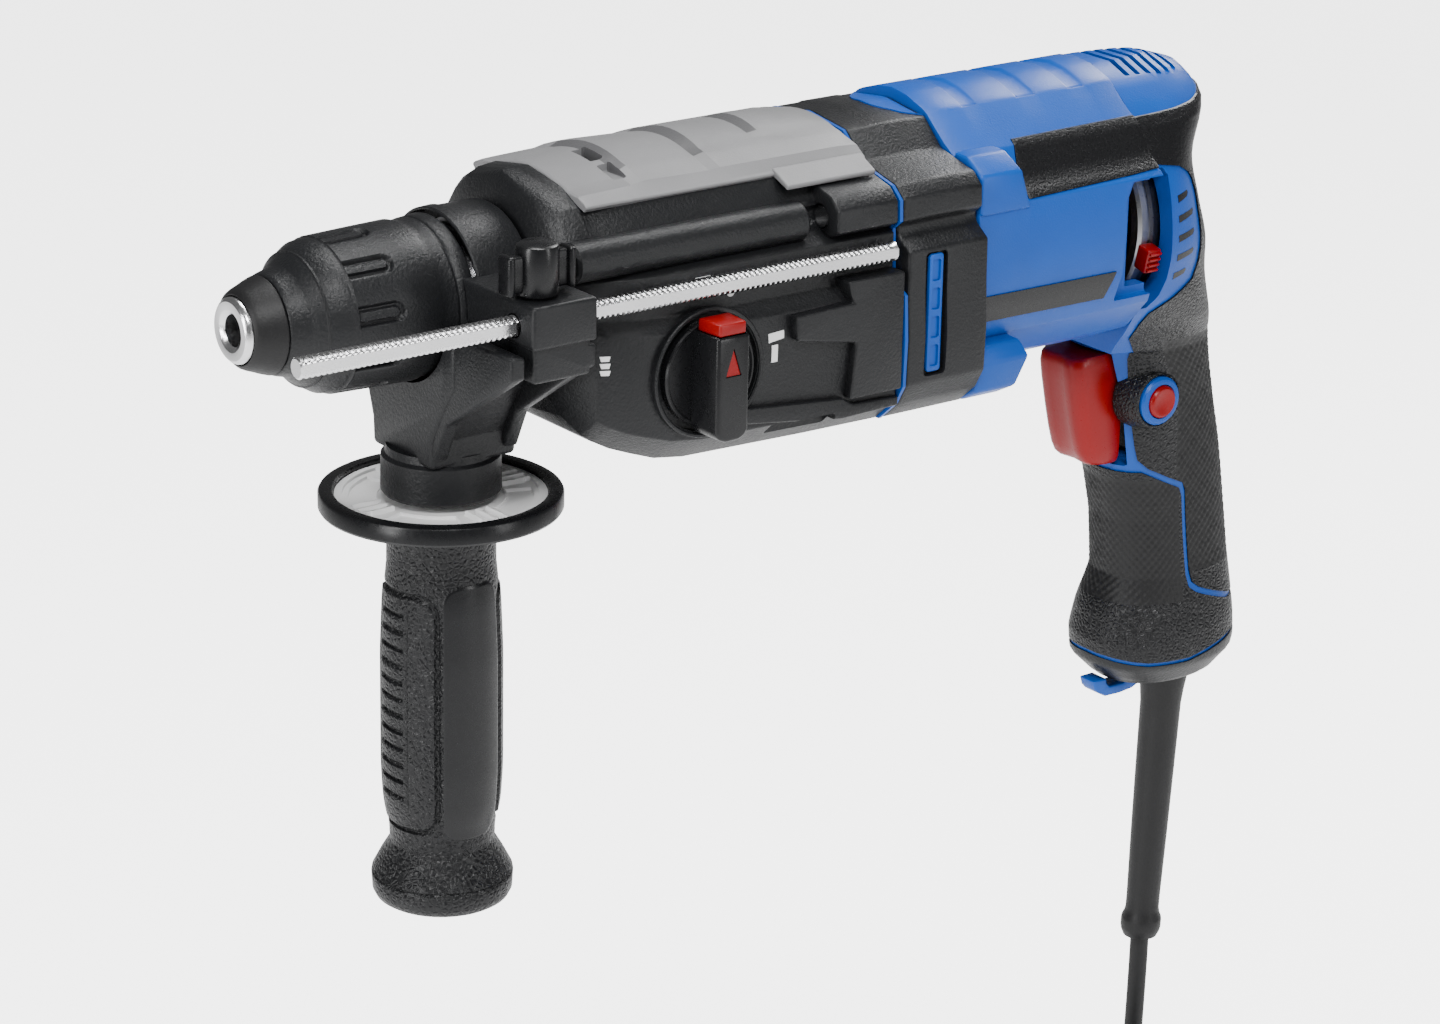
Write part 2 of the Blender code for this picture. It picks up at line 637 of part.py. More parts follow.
# Level, front, rear and half width of the shells; the front of an upper level is the housing's face
SHELL_LEVELS = [
    (40.0, SHELL_FRONT, 368, 9), (36.0, SHELL_FRONT, 381, 19), (28.0, SHELL_FRONT, 388, 28.5),
    (22.0, SHELL_FRONT, 387, 34.5), (9.0, SHELL_FRONT, 378, 41), (-5.0, SHELL_FRONT, 380, 44.5),
    (-22.0, SHELL_FRONT, 386, 45), (-38.0, SHELL_FRONT, 389, 40), (-50.0, SHELL_FRONT, 393, 33),
    (-60.0, SHELL_FRONT, 397, 26), (-64.0, 346, 398.5, 24), (-84.0, 352, 403, 22),
    (-108.0, 355, 409.5, 20.6), (-132.0, 360.5, 414, 20), (-154.0, 362.5, 417.5, 20.5),
    (-168.0, 357.5, 419.5, 23), (-178.0, 355.5, 420.5, 24.5), (-187.0, 356.5, 420, 24.2),
    (-194.0, 364, 413, 19.5),
]
GRIP_START = -62.0


def shell_outline(level, wall=0.0, count=24):
    """A level section: a half ellipse behind the housing, or a full rounded grip section."""
    z, front, rear, width = level
    points = []
    grip = z < GRIP_START
    for i in range(count):
        angle = 2 * math.pi * i / count
        c, s = math.cos(angle), math.sin(angle)
        power = 0.86 if grip else 0.9
        round_x = math.copysign(abs(c) ** power, c)
        round_y = math.copysign(abs(s) ** power, s)
        if grip:
            middle, reach = (front + rear) / 2, (rear - front) / 2
            x = middle + (reach - wall) * round_x
        else:
            x = front + wall / 2 + (rear - front - 1.5 * wall) * max(0.0, round_x)
        y = (width - wall) * (round_y if grip or c > 0 else math.copysign(abs(s) ** 0.5, s))
        points.append((x, y, z))
    return points


def level_at(z):
    """The shells' measures at a height between two levels."""
    for upper, lower in zip(SHELL_LEVELS, SHELL_LEVELS[1:]):
        if lower[0] <= z <= upper[0]:
            part = (upper[0] - z) / (upper[0] - lower[0])
            return (z, *[a + (b - a) * part for a, b in zip(upper[1:], lower[1:])])
    return SHELL_LEVELS[-1]


def rubber_levels(wall):
    inner = [level for level in SHELL_LEVELS if RUBBER_BOTTOM < level[0] < RUBBER_TOP]
    levels = [level_at(RUBBER_TOP), *inner, level_at(RUBBER_BOTTOM)]
    return [shell_outline(level, wall) for level in levels]


def shell_rings():
    """The shells' outside, thinner along the stretch that the rubber covers."""
    upper = [shell_outline(level) for level in SHELL_LEVELS if level[0] > RUBBER_TOP]
    lower = [shell_outline(level) for level in SHELL_LEVELS if level[0] <= RUBBER_BOTTOM - 1]
    top, bottom = level_at(RUBBER_TOP + GAP), level_at(RUBBER_BOTTOM - GAP)
    middle = rubber_levels(RUBBER_THICKNESS + GAP)
    first = [(x, y, RUBBER_TOP + GAP) for x, y, _ in middle[0]]
    last = [(x, y, RUBBER_BOTTOM - GAP) for x, y, _ in middle[-1]]
    return [*upper, shell_outline(top), first, *middle[1:-1], last, shell_outline(bottom), *lower]


def make_shells():
    body_levels = [level for level in SHELL_LEVELS[1:] if level[0] >= -50]
    grip_levels = [level for level in SHELL_LEVELS[:-1] if level[0] <= -84]
    for name, side in (("left", -1), ("right", 1)):
        shell = loft(f"handle_shell_{name}", shell_rings(), BLUE_PLASTIC)
        for room, levels in (("body", body_levels), ("grip", grip_levels)):
            cut(shell, loft(f"{room}_room_{name}", [shell_outline(level, 5.5) for level in levels],
                            cutter=True))
        cut(shell, rod(f"wire_channel_{name}", 46, 75, 5, at=(384, 0, 0), along="DOWN", steps=16,
                       cutter=True))
        cut(shell, block(f"switch_room_{name}", (363, -11.3, -107.3), (389.7, 11.3, -70.6), cutter=True))
        cut(shell, rod(f"open_front_{name}", 330, 341.3, 36.3, at=(0, 0, MOTOR_Z), cutter=True))
        cut(shell, block(f"trigger_slot_{name}", (330, -12.4, -109.3), (364.3, 12.4, -65.1), cutter=True))
        cut(shell, block(f"window_{name}", (337, -60, -40.7), (354.4, 60, 10.2), cutter=True))
        cut(shell, rod(f"relief_hole_{name}", 185, 200, 9.6, at=(RELIEF_TOP[0], 0, 0), along="DOWN",
                       cutter=True))
        low, high = ((-GAP / 2, 70) if side < 0 else (-70, GAP / 2))
        cut(shell, block(f"other_half_{name}", (320, low, -210), (440, high, 60), cutter=True))
        if side < 0:
            lock = {"at": (LOCK_X, 0, LOCK_Z), "along": "Y", "steps": 28, "cutter": True}
            join(shell, rod("lock_collar", -24.6, -14.3, 8.8, **lock))
            cut(shell, rod("lock_hole", -40, -5, 6.3, **lock))
    make_grip_rubber()


def make_grip_rubber():
    """The soft sleeve moulded round both shells."""
    rubber = loft("grip_rubber", rubber_levels(0.0), RUBBER)
    core = rubber_levels(RUBBER_THICKNESS)
    core[0] = [(x, y, RUBBER_TOP + 1) for x, y, _ in core[0]]
    core[-1] = [(x, y, RUBBER_BOTTOM - 1) for x, y, _ in core[-1]]
    cut(rubber, loft("rubber_core", core, cutter=True))


def make_trigger():
    """A finger trigger with a hollowed front, wider at the top than at its foot."""
    def level(z, front, rear, width):
        return [(rear, -width, z), (rear, width, z), (front + 5, width, z), (front + 0.6, width * 0.62, z),
                (front + 1.8, 0, z), (front + 0.6, -width * 0.62, z), (front + 5, -width, z)]

    loft("trigger", [
        level(TRIGGER_TOP, 335, 357, 10.6), level(-70, 334, 358, 11), level(-88, 337.5, 358, 11),
        level(-102, 341, 358, 11), level(TRIGGER_BOTTOM, 345, 357, 10.4),
    ], RED_PLASTIC)
    block("switch_module", (365.5, -10, -106), (388, 10, -72), BLACK_PLASTIC, 1.0)
    solid_turned("lock_button", [(-25.4, 4.6), (-24.8, 5.8), (-15.2, 5.8)], RED_PLASTIC,
                 at=(LOCK_X, 0, LOCK_Z), along="Y", steps=28)


def make_hook():
    outer = [(357.5, -195), (359.5, -199), (364, -202), (377, -201.6), (384, -197.5), (384, -194.5),
             (377, -194.5), (373, -198), (365.2, -198), (364, -194.5), (357.5, -194.5)]
    plate("hanging_hook", outer, -4, 4, "XZ", BLUE_PLASTIC)


# ---------------------------------------------------------------- mode knob

def make_mode_knob():
    at = (KNOB_X, 0, KNOB_Z)
    face = SIDE_FACE_Y - GAP
    knob = solid_turned("mode_knob", [
        (face - 5.0, 19.0), (face - 3.8, KNOB_RADIUS), (face, KNOB_RADIUS), (face, 5.9), (-40.0, 5.9),
    ], BLACK_PLASTIC, at=at, along="Y", steps=32)
    bar = block("knob_bar", (KNOB_X - 7.5, face - 13, KNOB_Z - 20), (KNOB_X + 7.5, face - 3, KNOB_Z + 13.5),
                bevel=2.0, cutter=True)
    join(knob, bar)
    block("mode_button", (KNOB_X - 6.5, face - 12, KNOB_Z + 15.9), (KNOB_X + 6.5, face - 5.4, KNOB_Z + 20),
          RED_PLASTIC, 1.0)


# ---------------------------------------------------------------- side handle

def make_side_handle():
    bracket = rod("handle_bracket", 79.6, 94.6, 27, BLACK_PLASTIC, steps=40)
    arm = block("bracket_arm", (69, -62, -14), (93, -20, 11.5), bevel=1.5, cutter=True)
    stem = plate("bracket_stem", [
        (-52, -11), (-24, -31), (-17, -43), (-17, -52), (17, -52), (17, -43), (22, -29), (25, -5), (-25, -5),
    ], 61.3, 93.7, "YZ", cutter=True)
    hub = solid_turned("bracket_hub", [(50.5, 18), (53, 19.4), (65.5, 19.4)], at=(SIDE_HANDLE_X, 0, 0),
                       along="DOWN", cutter=True)
    join(bracket, stem, arm, hub)
    cut(bracket, solid_turned("collar_bore", [
        (50, 26.6), (78.8, 26.6), (78.8, 23.3), (110, 23.3),
    ], steps=40, cutter=True))
    cut(bracket, rod("rod_bore", 60, 110, ROD_RADIUS + 0.5, at=(0, ROD_Y, ROD_Z), steps=20, cutter=True))
    cut(bracket, rod("wing_bore", -20, -ROD_Z - 2, 2.9, at=(WING_X, ROD_Y, 0), along="DOWN", steps=16,
                     cutter=True))
    cut(bracket, rod("bolt_bore", 10, 80, 4.6, at=(SIDE_HANDLE_X, 0, 0), along="DOWN", steps=20,
                     cutter=True))
    ring("clamp_band", 80.5, 93.5, 21.8, 23.0, STEEL)
    make_wing_screw()
    make_depth_rod()
    make_grip()


def make_wing_screw():
    """A screw with two wings that presses on the depth rod."""
    at = (WING_X, ROD_Y, WING_Z)
    screw = solid_turned("rod_wing_screw", [
        (-16.5, 7.5), (-15, 8.2), (-1, 8.2), (0, 6), (0, 2.5), (4.6, 2.5),
    ], BLACK_PLASTIC, at=at, along="DOWN", steps=24)
    wings = block("wings", (WING_X - 12.3, ROD_Y - 2.3, WING_Z + 2), (WING_X + 12.3, ROD_Y + 2.3, WING_Z + 14),
                  bevel=1.0, cutter=True)
    join(screw, wings)


def make_depth_rod():
    stop = rod("depth_rod", ROD_FRONT, ROD_REAR, ROD_RADIUS, BRIGHT_STEEL, at=(0, ROD_Y, ROD_Z), steps=24)
    flat = block("rod_flat", (ROD_FRONT - 5, ROD_Y - 6, ROD_Z - 6), (ROD_REAR + 5, ROD_Y - 2.7, ROD_Z + 6),
                 cutter=True)
    cut(stop, flat)


def make_grip():
    at = (SIDE_HANDLE_X, 0, 0)
    turned("guard_disc", [
        (66.0, 20.5), (66.0, 34), (69.5, 34), (69.5, 9.2), (67.5, 9.2), (67.5, 20.5),
    ], WHITE_PLASTIC, at=at, along="DOWN", steps=40)
    turned("guard_rim", [
        (65.2, 34.3), (64.8, 38.4), (66, 39.3), (70.5, 39.3), (71.5, 38), (71, 34.3),
    ], RUBBER, at=at, along="DOWN", steps=40)
    turned("side_grip", [
        (71.8, 19.0), (80, 17.6), (90, 17.7), (100, 18.8), (120, 19.6), (160, 19.6), (172, 18.9),
        (180, 17.2), (186, 17.2), (191, 20.2), (197, 23.3), (203, 23.0), (206, 20.5),
        (206, 12.3), (71.8, 12.3),
    ], RUBBER, at=at, along="DOWN", steps=28)
    core = rod("grip_core", 70, 206, 12.0, BLACK_PLASTIC, at=at, along="DOWN")
    cut(core, rod("core_bore", 60, 160, 4.6, at=at, along="DOWN", steps=20, cutter=True))
    solid_turned("tension_bolt", [
        (40, 4.0), (155, 4.0),
    ], BRIGHT_STEEL, at=at, along="DOWN", steps=20)


# ---------------------------------------------------------------- cord

def make_cord():
    """Strain relief, the hanging stretch of the cord, its hank, the tie and the plug."""
    lean = (RELIEF_END[0] - RELIEF_TOP[0]) / (RELIEF_END[1] - RELIEF_TOP[1])

    def level(z, radius, count=20):
        x = RELIEF_TOP[0] + lean * (z - RELIEF_TOP[1])
        return [(x + radius * math.cos(2 * math.pi * i / count),
                 radius * math.sin(2 * math.pi * i / count), z) for i in range(count)]

    relief = loft("strain_relief", [
        level(-188, 9.2), level(-196, 9.2), level(-197, 9.3), level(-212, 7.6), level(-240, 7.2),
        level(-290, 6.3), level(-296, 6.3), level(-299, 7.6), level(-303, 7.6), level(RELIEF_END[1], 6.4),
    ], RUBBER)
    bore = loft("relief_bore", [level(-310, CORD_RADIUS + 0.4), level(-180, CORD_RADIUS + 0.4)], cutter=True)
    cut(relief, bore)

    run_x = HANK_X + HANK_BEND
    exit_x = RELIEF_END[0]
    points = cord_stretch(exit_x, run_x)
    curve = bpy.data.curves.new("cord_tube", "CURVE")
    curve.dimensions = "3D"
    curve.bevel_depth = CORD_RADIUS * MM
    curve.bevel_resolution = 2
    curve.use_fill_caps = True
    spline = curve.splines.new("POLY")
    spline.points.add(len(points) - 1)
    for point, (x, y, z) in zip(spline.points, points):
        point.co = (x * MM, y * MM, z * MM, 1.0)
    tube = bpy.data.objects.new("cord_tube", curve)
    tube.parent = HAMMER_FRAME
    PARTS.objects.link(tube)
    curve.materials.append(RUBBER)

    make_hank()


def cord_stretch(exit_x, run_x):
    """Points down the hanging stretch, eased from the relief's line to the hank's first run."""
    top, bottom = RELIEF_END[1] - GAP, HANK_TOP - 8.1
    points, count = [], 6
    for i in range(count):
        part = i / (count - 1)
        ease = part * part * (3 - 2 * part)
        points.append((exit_x + (run_x - exit_x) * ease, 0.0, top + (bottom - top) * part))
    return points


def stadium(half_width, straight, count=12):
    """A racetrack outline, its long way up, about its middle."""
    upper = [(half_width * math.cos(math.pi * i / count),
              straight / 2 + half_width * math.sin(math.pi * i / count)) for i in range(count + 1)]
    return upper + [(-x, -z) for x, z in upper]


def make_hank():
    half = HANK_BEND + CORD_RADIUS * 2
    middle = HANK_TOP - half - HANK_STRAIGHT / 2
    low, high = HANK_Y - HANK_DEPTH / 2, HANK_Y + HANK_DEPTH / 2
    outline = [(HANK_X + x, middle + z) for x, z in stadium(half, HANK_STRAIGHT)]
    plate("cord_hank", outline, low, high, "XZ", RUBBER)
    tie_in = [(HANK_X - half - GAP, low - GAP), (HANK_X + half + GAP, low - GAP),
              (HANK_X + half + GAP, high + GAP), (HANK_X - half - GAP, high + GAP)]
    tie_out = [(HANK_X - half - 2, low - 2), (HANK_X + half + 2, low - 2),
               (HANK_X + half + 2, high + 2), (HANK_X - half - 2, high + 2)]
    plate("cord_tie", tie_out, middle - 7, middle + 7, "XY", BLACK_PLASTIC, holes=[tie_in])
    plug_x = HANK_X + HANK_BEND
    plug_top = -(middle - HANK_STRAIGHT / 2 - half) - 6
    turned_plug(plug_x, high + CORD_RADIUS + GAP, plug_top)


def turned_plug(x, y, top):
    """A two-pin mains plug, hanging pins down."""
    plug = solid_turned("mains_plug", [
        (top, 5.2), (top + 16, 7.0), (top + 22, 13), (top + 30, 17.5), (top + 44, 18.2), (top + 45, 17.6),
    ], RUBBER, at=(x, y, 0), along="DOWN")
    for side in (-1, 1):
        pin = solid_turned(f"plug_pin_{side}", [(top + 44, 2.4), (top + 62.5, 2.4), (top + 64, 1.4)],
                           at=(x + side * 9.5, y, 0), along="DOWN", steps=12, cutter=True)
        join(plug, pin)


# ---------------------------------------------------------------- assembly

def main():
    make_spindle()
    make_sleeve()
    make_hammer_mechanism()
    make_layshaft()
    make_motor()
    make_brushes()
    housing = make_gear_housing()
    make_top_cover()
    make_inner_supports()
    flange = make_flange()
    make_motor_housing()
    screw_holes(housing)
    screw_holes(flange)
    make_shells()
    make_trigger()
    make_hook()
    make_mode_knob()
    make_side_handle()
    make_cord()
    bpy.context.view_layer.update()


main()
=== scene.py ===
"""A corded rotary hammer: the visible model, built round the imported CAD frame.

Lengths are millimetres in the tool's own frame: x runs back from the chuck's face, y to the tool's right and
z up from the spindle's axis. The near side, with the mode dial, is -y.
"""
import math

import bmesh
import bpy
from mathutils import Matrix, Vector
from mathutils.bvhtree import BVHTree

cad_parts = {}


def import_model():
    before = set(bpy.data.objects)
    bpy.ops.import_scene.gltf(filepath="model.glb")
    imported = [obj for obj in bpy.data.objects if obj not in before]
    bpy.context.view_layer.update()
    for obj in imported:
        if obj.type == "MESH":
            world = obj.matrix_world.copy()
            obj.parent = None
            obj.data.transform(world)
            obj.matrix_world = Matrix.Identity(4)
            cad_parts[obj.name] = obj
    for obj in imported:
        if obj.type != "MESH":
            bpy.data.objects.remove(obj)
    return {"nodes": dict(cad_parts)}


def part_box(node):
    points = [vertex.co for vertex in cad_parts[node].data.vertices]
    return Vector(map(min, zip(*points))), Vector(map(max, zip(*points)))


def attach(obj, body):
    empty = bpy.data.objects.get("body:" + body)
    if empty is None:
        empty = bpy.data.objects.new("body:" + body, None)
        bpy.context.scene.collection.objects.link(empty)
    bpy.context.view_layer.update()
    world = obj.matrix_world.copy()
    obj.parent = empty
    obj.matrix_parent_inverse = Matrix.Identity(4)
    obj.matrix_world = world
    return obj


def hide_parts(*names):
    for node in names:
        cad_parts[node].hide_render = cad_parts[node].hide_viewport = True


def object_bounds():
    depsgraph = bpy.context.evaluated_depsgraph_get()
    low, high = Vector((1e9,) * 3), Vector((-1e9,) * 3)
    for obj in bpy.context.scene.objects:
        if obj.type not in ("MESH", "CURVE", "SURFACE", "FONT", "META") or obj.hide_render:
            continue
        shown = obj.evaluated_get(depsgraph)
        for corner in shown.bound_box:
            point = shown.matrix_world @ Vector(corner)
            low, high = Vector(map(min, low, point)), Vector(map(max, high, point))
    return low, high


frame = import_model()
cad_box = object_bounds()

MM = 0.001
holder_low, holder_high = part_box("tool_holder")
ORIGIN = Vector((holder_low[0], 0, (holder_low[2] + holder_high[2]) / 2))
FLOOR_Z = cad_box[0][2] - 0.06


def world(point):
    """A point of the tool's frame, in the row frame's metres."""
    return ORIGIN + Vector(point) * MM


# ---- camera, light and floor

CAMERA_PLACE, CAMERA_LENS = (-632.4, -1081.1, 392.8), 107.5
AZIMUTH, ELEVATION, ROLL = (math.radians(angle) for angle in (-37.19, 19.8, 1.15))
FLOOR_TO_CAMERA, FLOOR_TO_OBJECT, SKY = 3.6, 0.55, 0.14
WHITE_LIGHT = (1, 1, 1, 1)
LAMPS = {                       # place, width, height and power
    "key": ((-0.9, -1.3, 1.7), 0.9, 0.4, 40),
    "front": ((-1.9, -0.3, 0.5), 0.3, 1.2, 22),
    "rear": ((1.3, 0.7, 1.1), 0.5, 1.2, 22),
    "top": ((0.1, 0.1, 1.9), 1.3, 0.35, 34),
    "side": ((0.6, -1.9, 0.5), 0.3, 1.2, 12),
}
LAMPS_AIM = Vector((-0.15, 0, 0.05))


def linked(name, data):
    """An object of the scene that holds the data."""
    obj = bpy.data.objects.new(name, data)
    bpy.context.scene.collection.objects.link(obj)
    return obj


def mesh_of(name, shape):
    """A mesh made from a bmesh, which is freed."""
    mesh = bpy.data.meshes.new(name)
    shape.to_mesh(mesh)
    shape.free()
    return mesh


def set_inputs(node, **values):
    """Sets a node's inputs; an underscore stands for a space in an input's name."""
    for name, value in values.items():
        node.inputs[name.replace("_", " ")].default_value = value
    return node


def make_stage():
    data = bpy.data.cameras.new("camera")
    data.lens, data.sensor_width, data.clip_end = CAMERA_LENS, 36, 20
    camera = linked("camera", data)
    turn = (Matrix.Rotation(AZIMUTH, 4, "Z") @ Matrix.Rotation(math.pi / 2 - ELEVATION, 4, "X")
        @ Matrix.Rotation(ROLL, 4, "Z"))
    camera.matrix_world = Matrix.Translation(world(CAMERA_PLACE)) @ turn
    bpy.context.scene.camera = camera

    shape = bmesh.new()
    bmesh.ops.create_grid(shape, x_segments=8, y_segments=8, size=9)
    floor = linked("floor", mesh_of("floor", shape))
    floor.location = (0, 0, FLOOR_Z)
    paint, nodes, links, shader = new_material("floor", (0.9, 0.9, 0.9), 0.9)
    set_inputs(shader, Specular_IOR_Level=0.1, Emission_Color=WHITE_LIGHT)
    glow = set_inputs(nodes.new("ShaderNodeMapRange"), To_Min=FLOOR_TO_OBJECT, To_Max=FLOOR_TO_CAMERA)
    links.new(nodes.new("ShaderNodeLightPath").outputs["Is Camera Ray"], glow.inputs["Value"])
    links.new(glow.outputs["Result"], shader.inputs["Emission Strength"])
    floor.data.materials.append(paint)

    background = bpy.data.worlds.new("studio")
    background.use_nodes = True
    set_inputs(background.node_tree.nodes["Background"], Color=WHITE_LIGHT, Strength=SKY)
    bpy.context.scene.world = background
    for name, (place, width, height, power) in LAMPS.items():
        data = bpy.data.lights.new(name, "AREA")
        data.shape, data.size, data.size_y, data.energy = "RECTANGLE", width, height, power
        lamp = linked(name, data)
        lamp.location = place
        lamp.rotation_euler = (LAMPS_AIM - Vector(place)).to_track_quat("-Z", "Y").to_euler()


# ---- materials

MOTTLING = 0.12


def new_material(name, colour, roughness, metallic=0):
    paint = bpy.data.materials.new(name)
    paint.use_nodes = True
    shader = paint.node_tree.nodes["Principled BSDF"]
    set_inputs(shader, Base_Color=(*colour, 1), Roughness=roughness, Metallic=metallic)
    return paint, paint.node_tree.nodes, paint.node_tree.links, shader


def moulded(name, colour, roughness, grain, bump, leather=0, metallic=0):
    """A plastic or metal with fine grain, a faint mottling, and leather cells if asked. Grain is in mm."""
    paint, nodes, links, shader = new_material(name, colour, roughness, metallic)
    set_inputs(shader, Specular_IOR_Level=0.5 if metallic else 0.3)

    def fed(kind, source, socket, **values):
        node = set_inputs(nodes.new("ShaderNode" + kind), **values)
        links.new(source, node.inputs[socket])
        return node

    where = nodes.new("ShaderNodeTexCoord").outputs["Object"]
    tint = nodes.new("ShaderNodeMix")
    tint.data_type = "RGBA"
    set_inputs(tint, A=(*[c * (1 - MOTTLING) for c in colour], 1),
        B=(*[min(1, c * (1 + MOTTLING)) for c in colour], 1))
    links.new(fed("TexNoise", where, "Vector", Scale=45, Detail=5).outputs["Fac"], tint.inputs["Factor"])
    links.new(tint.outputs["Result"], shader.inputs["Base Color"])
    speck = fed("TexNoise", where, "Vector", Scale=1 / (grain * MM), Detail=3, Roughness=0.6).outputs["Fac"]
    gloss = fed("MapRange", speck, "Value", To_Min=max(0.05, roughness - 0.1),
        To_Max=min(1, roughness + 0.14))
    links.new(gloss.outputs["Result"], shader.inputs["Roughness"])
    relief = fed("Bump", speck, "Height", Strength=bump, Distance=0.25 * MM)
    if leather:
        cells = fed("TexVoronoi", where, "Vector", Scale=1 / (leather * MM), Randomness=1)
        cells.feature = "DISTANCE_TO_EDGE"
        pillow = fed("MapRange", cells.outputs["Distance"], "Value", From_Max=0.35)
        pillow.interpolation_type = "SMOOTHSTEP"
        grain_normal = relief.outputs["Normal"]
        relief = fed("Bump", pillow.outputs["Result"], "Height", Strength=0.75, Distance=0.35 * MM)
        links.new(grain_normal, relief.inputs["Normal"])
    links.new(relief.outputs["Normal"], shader.inputs["Normal"])
    return paint


BLACK = moulded("black_grained", (0.0085, 0.009, 0.01), 0.36, 1, 1)
BLACK_SMOOTH = moulded("black_smooth", (0.006, 0.0062, 0.007), 0.27, 2, 0.08)
GREY = moulded("cover_grey", (0.2, 0.2, 0.205), 0.33, 0.7, 0.35)
# a darker grey laid on the cover's forward-facing step ramps as painted shade
GREY_PAINTED_SHADE = moulded("cover_step_painted_shade", (0.085, 0.085, 0.088), 0.3, 0.7, 0.35)
BLUE = moulded("housing_blue", (0, 0.066, 0.36), 0.34, 0.7, 0.3)
RED = moulded("signal_red", (0.24, 0.0004, 0.001), 0.3, 0.9, 0.2)
WHITE = moulded("disc_white", (0.8, 0.8, 0.8), 0.36, 1.2, 0.1)
LEATHER = moulded("grip_leather", (0.007, 0.0072, 0.008), 0.34, 1, 0.45, leather=1.7)
SPARKLE = moulded("strip_grain", (0.007, 0.0072, 0.008), 0.28, 0.95, 1)
RUBBER = moulded("soft_rubber", (0.008, 0.008, 0.0085), 0.46, 0.8, 0.4)
CORD_RUBBER = moulded("cord_rubber", (0.009, 0.009, 0.0095), 0.52, 0.6, 0.3)
STEEL = moulded("bright_steel", (0.78, 0.78, 0.79), 0.2, 0.8, 0.15, metallic=1)
DARK_STEEL = moulded("hardened_steel", (0.36, 0.36, 0.37), 0.3, 0.9, 0.2, metallic=1)
BEARING = moulded("bearing_steel", (0.62, 0.62, 0.64), 0.22, 1.5, 0.05, metallic=1)
COPPER = moulded("copper", (0.72, 0.33, 0.15), 0.32, 0.9, 0.3, metallic=1)
ALUMINIUM = moulded("cast_aluminium", (0.58, 0.58, 0.59), 0.42, 0.7, 0.5, metallic=1)
CARBON = moulded("carbon", (0.03, 0.03, 0.032), 0.6, 0.6, 0.4)
ICON_WHITE = moulded("icon_print", (0.82, 0.82, 0.82), 0.45, 0.8, 0.1)

CARRIED = {                     # the nodes that show as they are
    DARK_STEEL: "spindle_gear lock_ring impact_bolt striker wobble_ring layshaft layshaft_gear "
                "armature_shaft armature_core stator_core clamp_band",
    STEEL: "sleeve_spring housing_screw_left housing_screw_right tension_bolt",
    BEARING: "locking_ball spindle_front_bearing layshaft_rear_bearing armature_front_bearing "
             "armature_rear_bearing",
    COPPER: "commutator field_winding",
    ALUMINIUM: "piston spindle_bracket gear_carrier",
    CARBON: "carbon_brush_left carbon_brush_right",
    BLACK: "grip_core cooling_fan switch_module",
    BLUE: "gasket",
}


def paint_carried_nodes():
    for paint, names in CARRIED.items():
        for name in names.split():
            for place in frame["nodes"][name].material_slots:
                place.material = paint


# ---- mesh helpers, in the tool's millimetres

def put(name, shape, paints, body="root", replaces=(), sharp=30, bevel=0):
    """Turns a bmesh into a piece that rides on a body. Edges sharper than sharp degrees stay crisp."""
    bmesh.ops.recalc_face_normals(shape, faces=shape.faces)
    limit = math.radians(sharp)
    for face in shape.faces:
        face.smooth = True
    for edge in shape.edges:
        edge.smooth = len(edge.link_faces) == 2 and edge.calc_face_angle(0) < limit
    for vert in shape.verts:
        vert.co = world(vert.co)
    obj = linked(name, mesh_of(name, shape))
    paints = paints if isinstance(paints, list) else [paints]
    for paint in paints:
        obj.data.materials.append(paint)
    if bevel:
        rounding = obj.modifiers.new("rounded edges", "BEVEL")
        rounding.width, rounding.segments = bevel * MM, 3
        rounding.limit_method, rounding.angle_limit = "ANGLE", limit
        rounding.harden_normals = True
    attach(obj, body)
    if replaces:
        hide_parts(*replaces)
    return obj


TURNS = {"X": Matrix.Identity(3), "Y": Matrix(((0, 1, 0), (1, 0, 0), (0, 0, -1))),
         "DOWN": Matrix(((0, 0, 1), (0, 1, 0), (-1, 0, 0)))}


def revolve(profile, at=(0, 0, 0), along="X", steps=64, tweak=None):
    """A closed profile of (station, radius) turned about an axis; a point of radius 0 is on the axis.

    tweak(station, radius, angle), if given, returns both measures of a point moved.
    """
    shape = bmesh.new()
    turn, middle = TURNS[along], Vector(at)
    rings = []
    for station, radius in profile:
        ring = []
        for i in range(steps if radius else 1):
            angle = 2 * math.pi * i / steps
            s, r = tweak(station, radius, angle) if tweak else (station, radius)
            ring.append(shape.verts.new(middle + turn
                @ Vector((s, r * math.cos(angle), r * math.sin(angle)))))
        rings.append(ring)
    for one, two in zip(rings, rings[1:] + rings[:1]):
        if len(one) == 1 and len(two) == 1:
            continue
        for i in range(steps):
            j = (i + 1) % steps
            corners = [one[i % len(one)], one[j % len(one)], two[j % len(two)], two[i % len(two)]]
            shape.faces.new(list(dict.fromkeys(corners)))
    return shape


def solid_turn(outer, *where, **more):
    """A turned solid from its outer profile, closed to the axis at both ends."""
    return revolve([(outer[0][0], 0), *outer, (outer[-1][0], 0)], *where, **more)


def rod(first, last, radius, *where, **more):
    return solid_turn([(first, radius), (last, radius)], *where, **more)


def skin(rings, closed=True):
    """A skin over rings with equal numbers of points, capped at its ends if closed."""
    shape = bmesh.new()
    made = [[shape.verts.new(point) for point in ring] for ring in rings]
    for one, two in zip(made, made[1:]):
        for i in range(len(one)):
            j = (i + 1) % len(one)
            shape.faces.new((one[i], one[j], two[j], two[i]))
    if closed:
        shape.faces.new(made[0][::-1])
        shape.faces.new(made[-1])
    return shape


LIFTS = {"XZ": lambda a, b, c: (a, c, b), "YZ": lambda a, b, c: (c, a, b), "XY": lambda a, b, c: (a, b, c)}


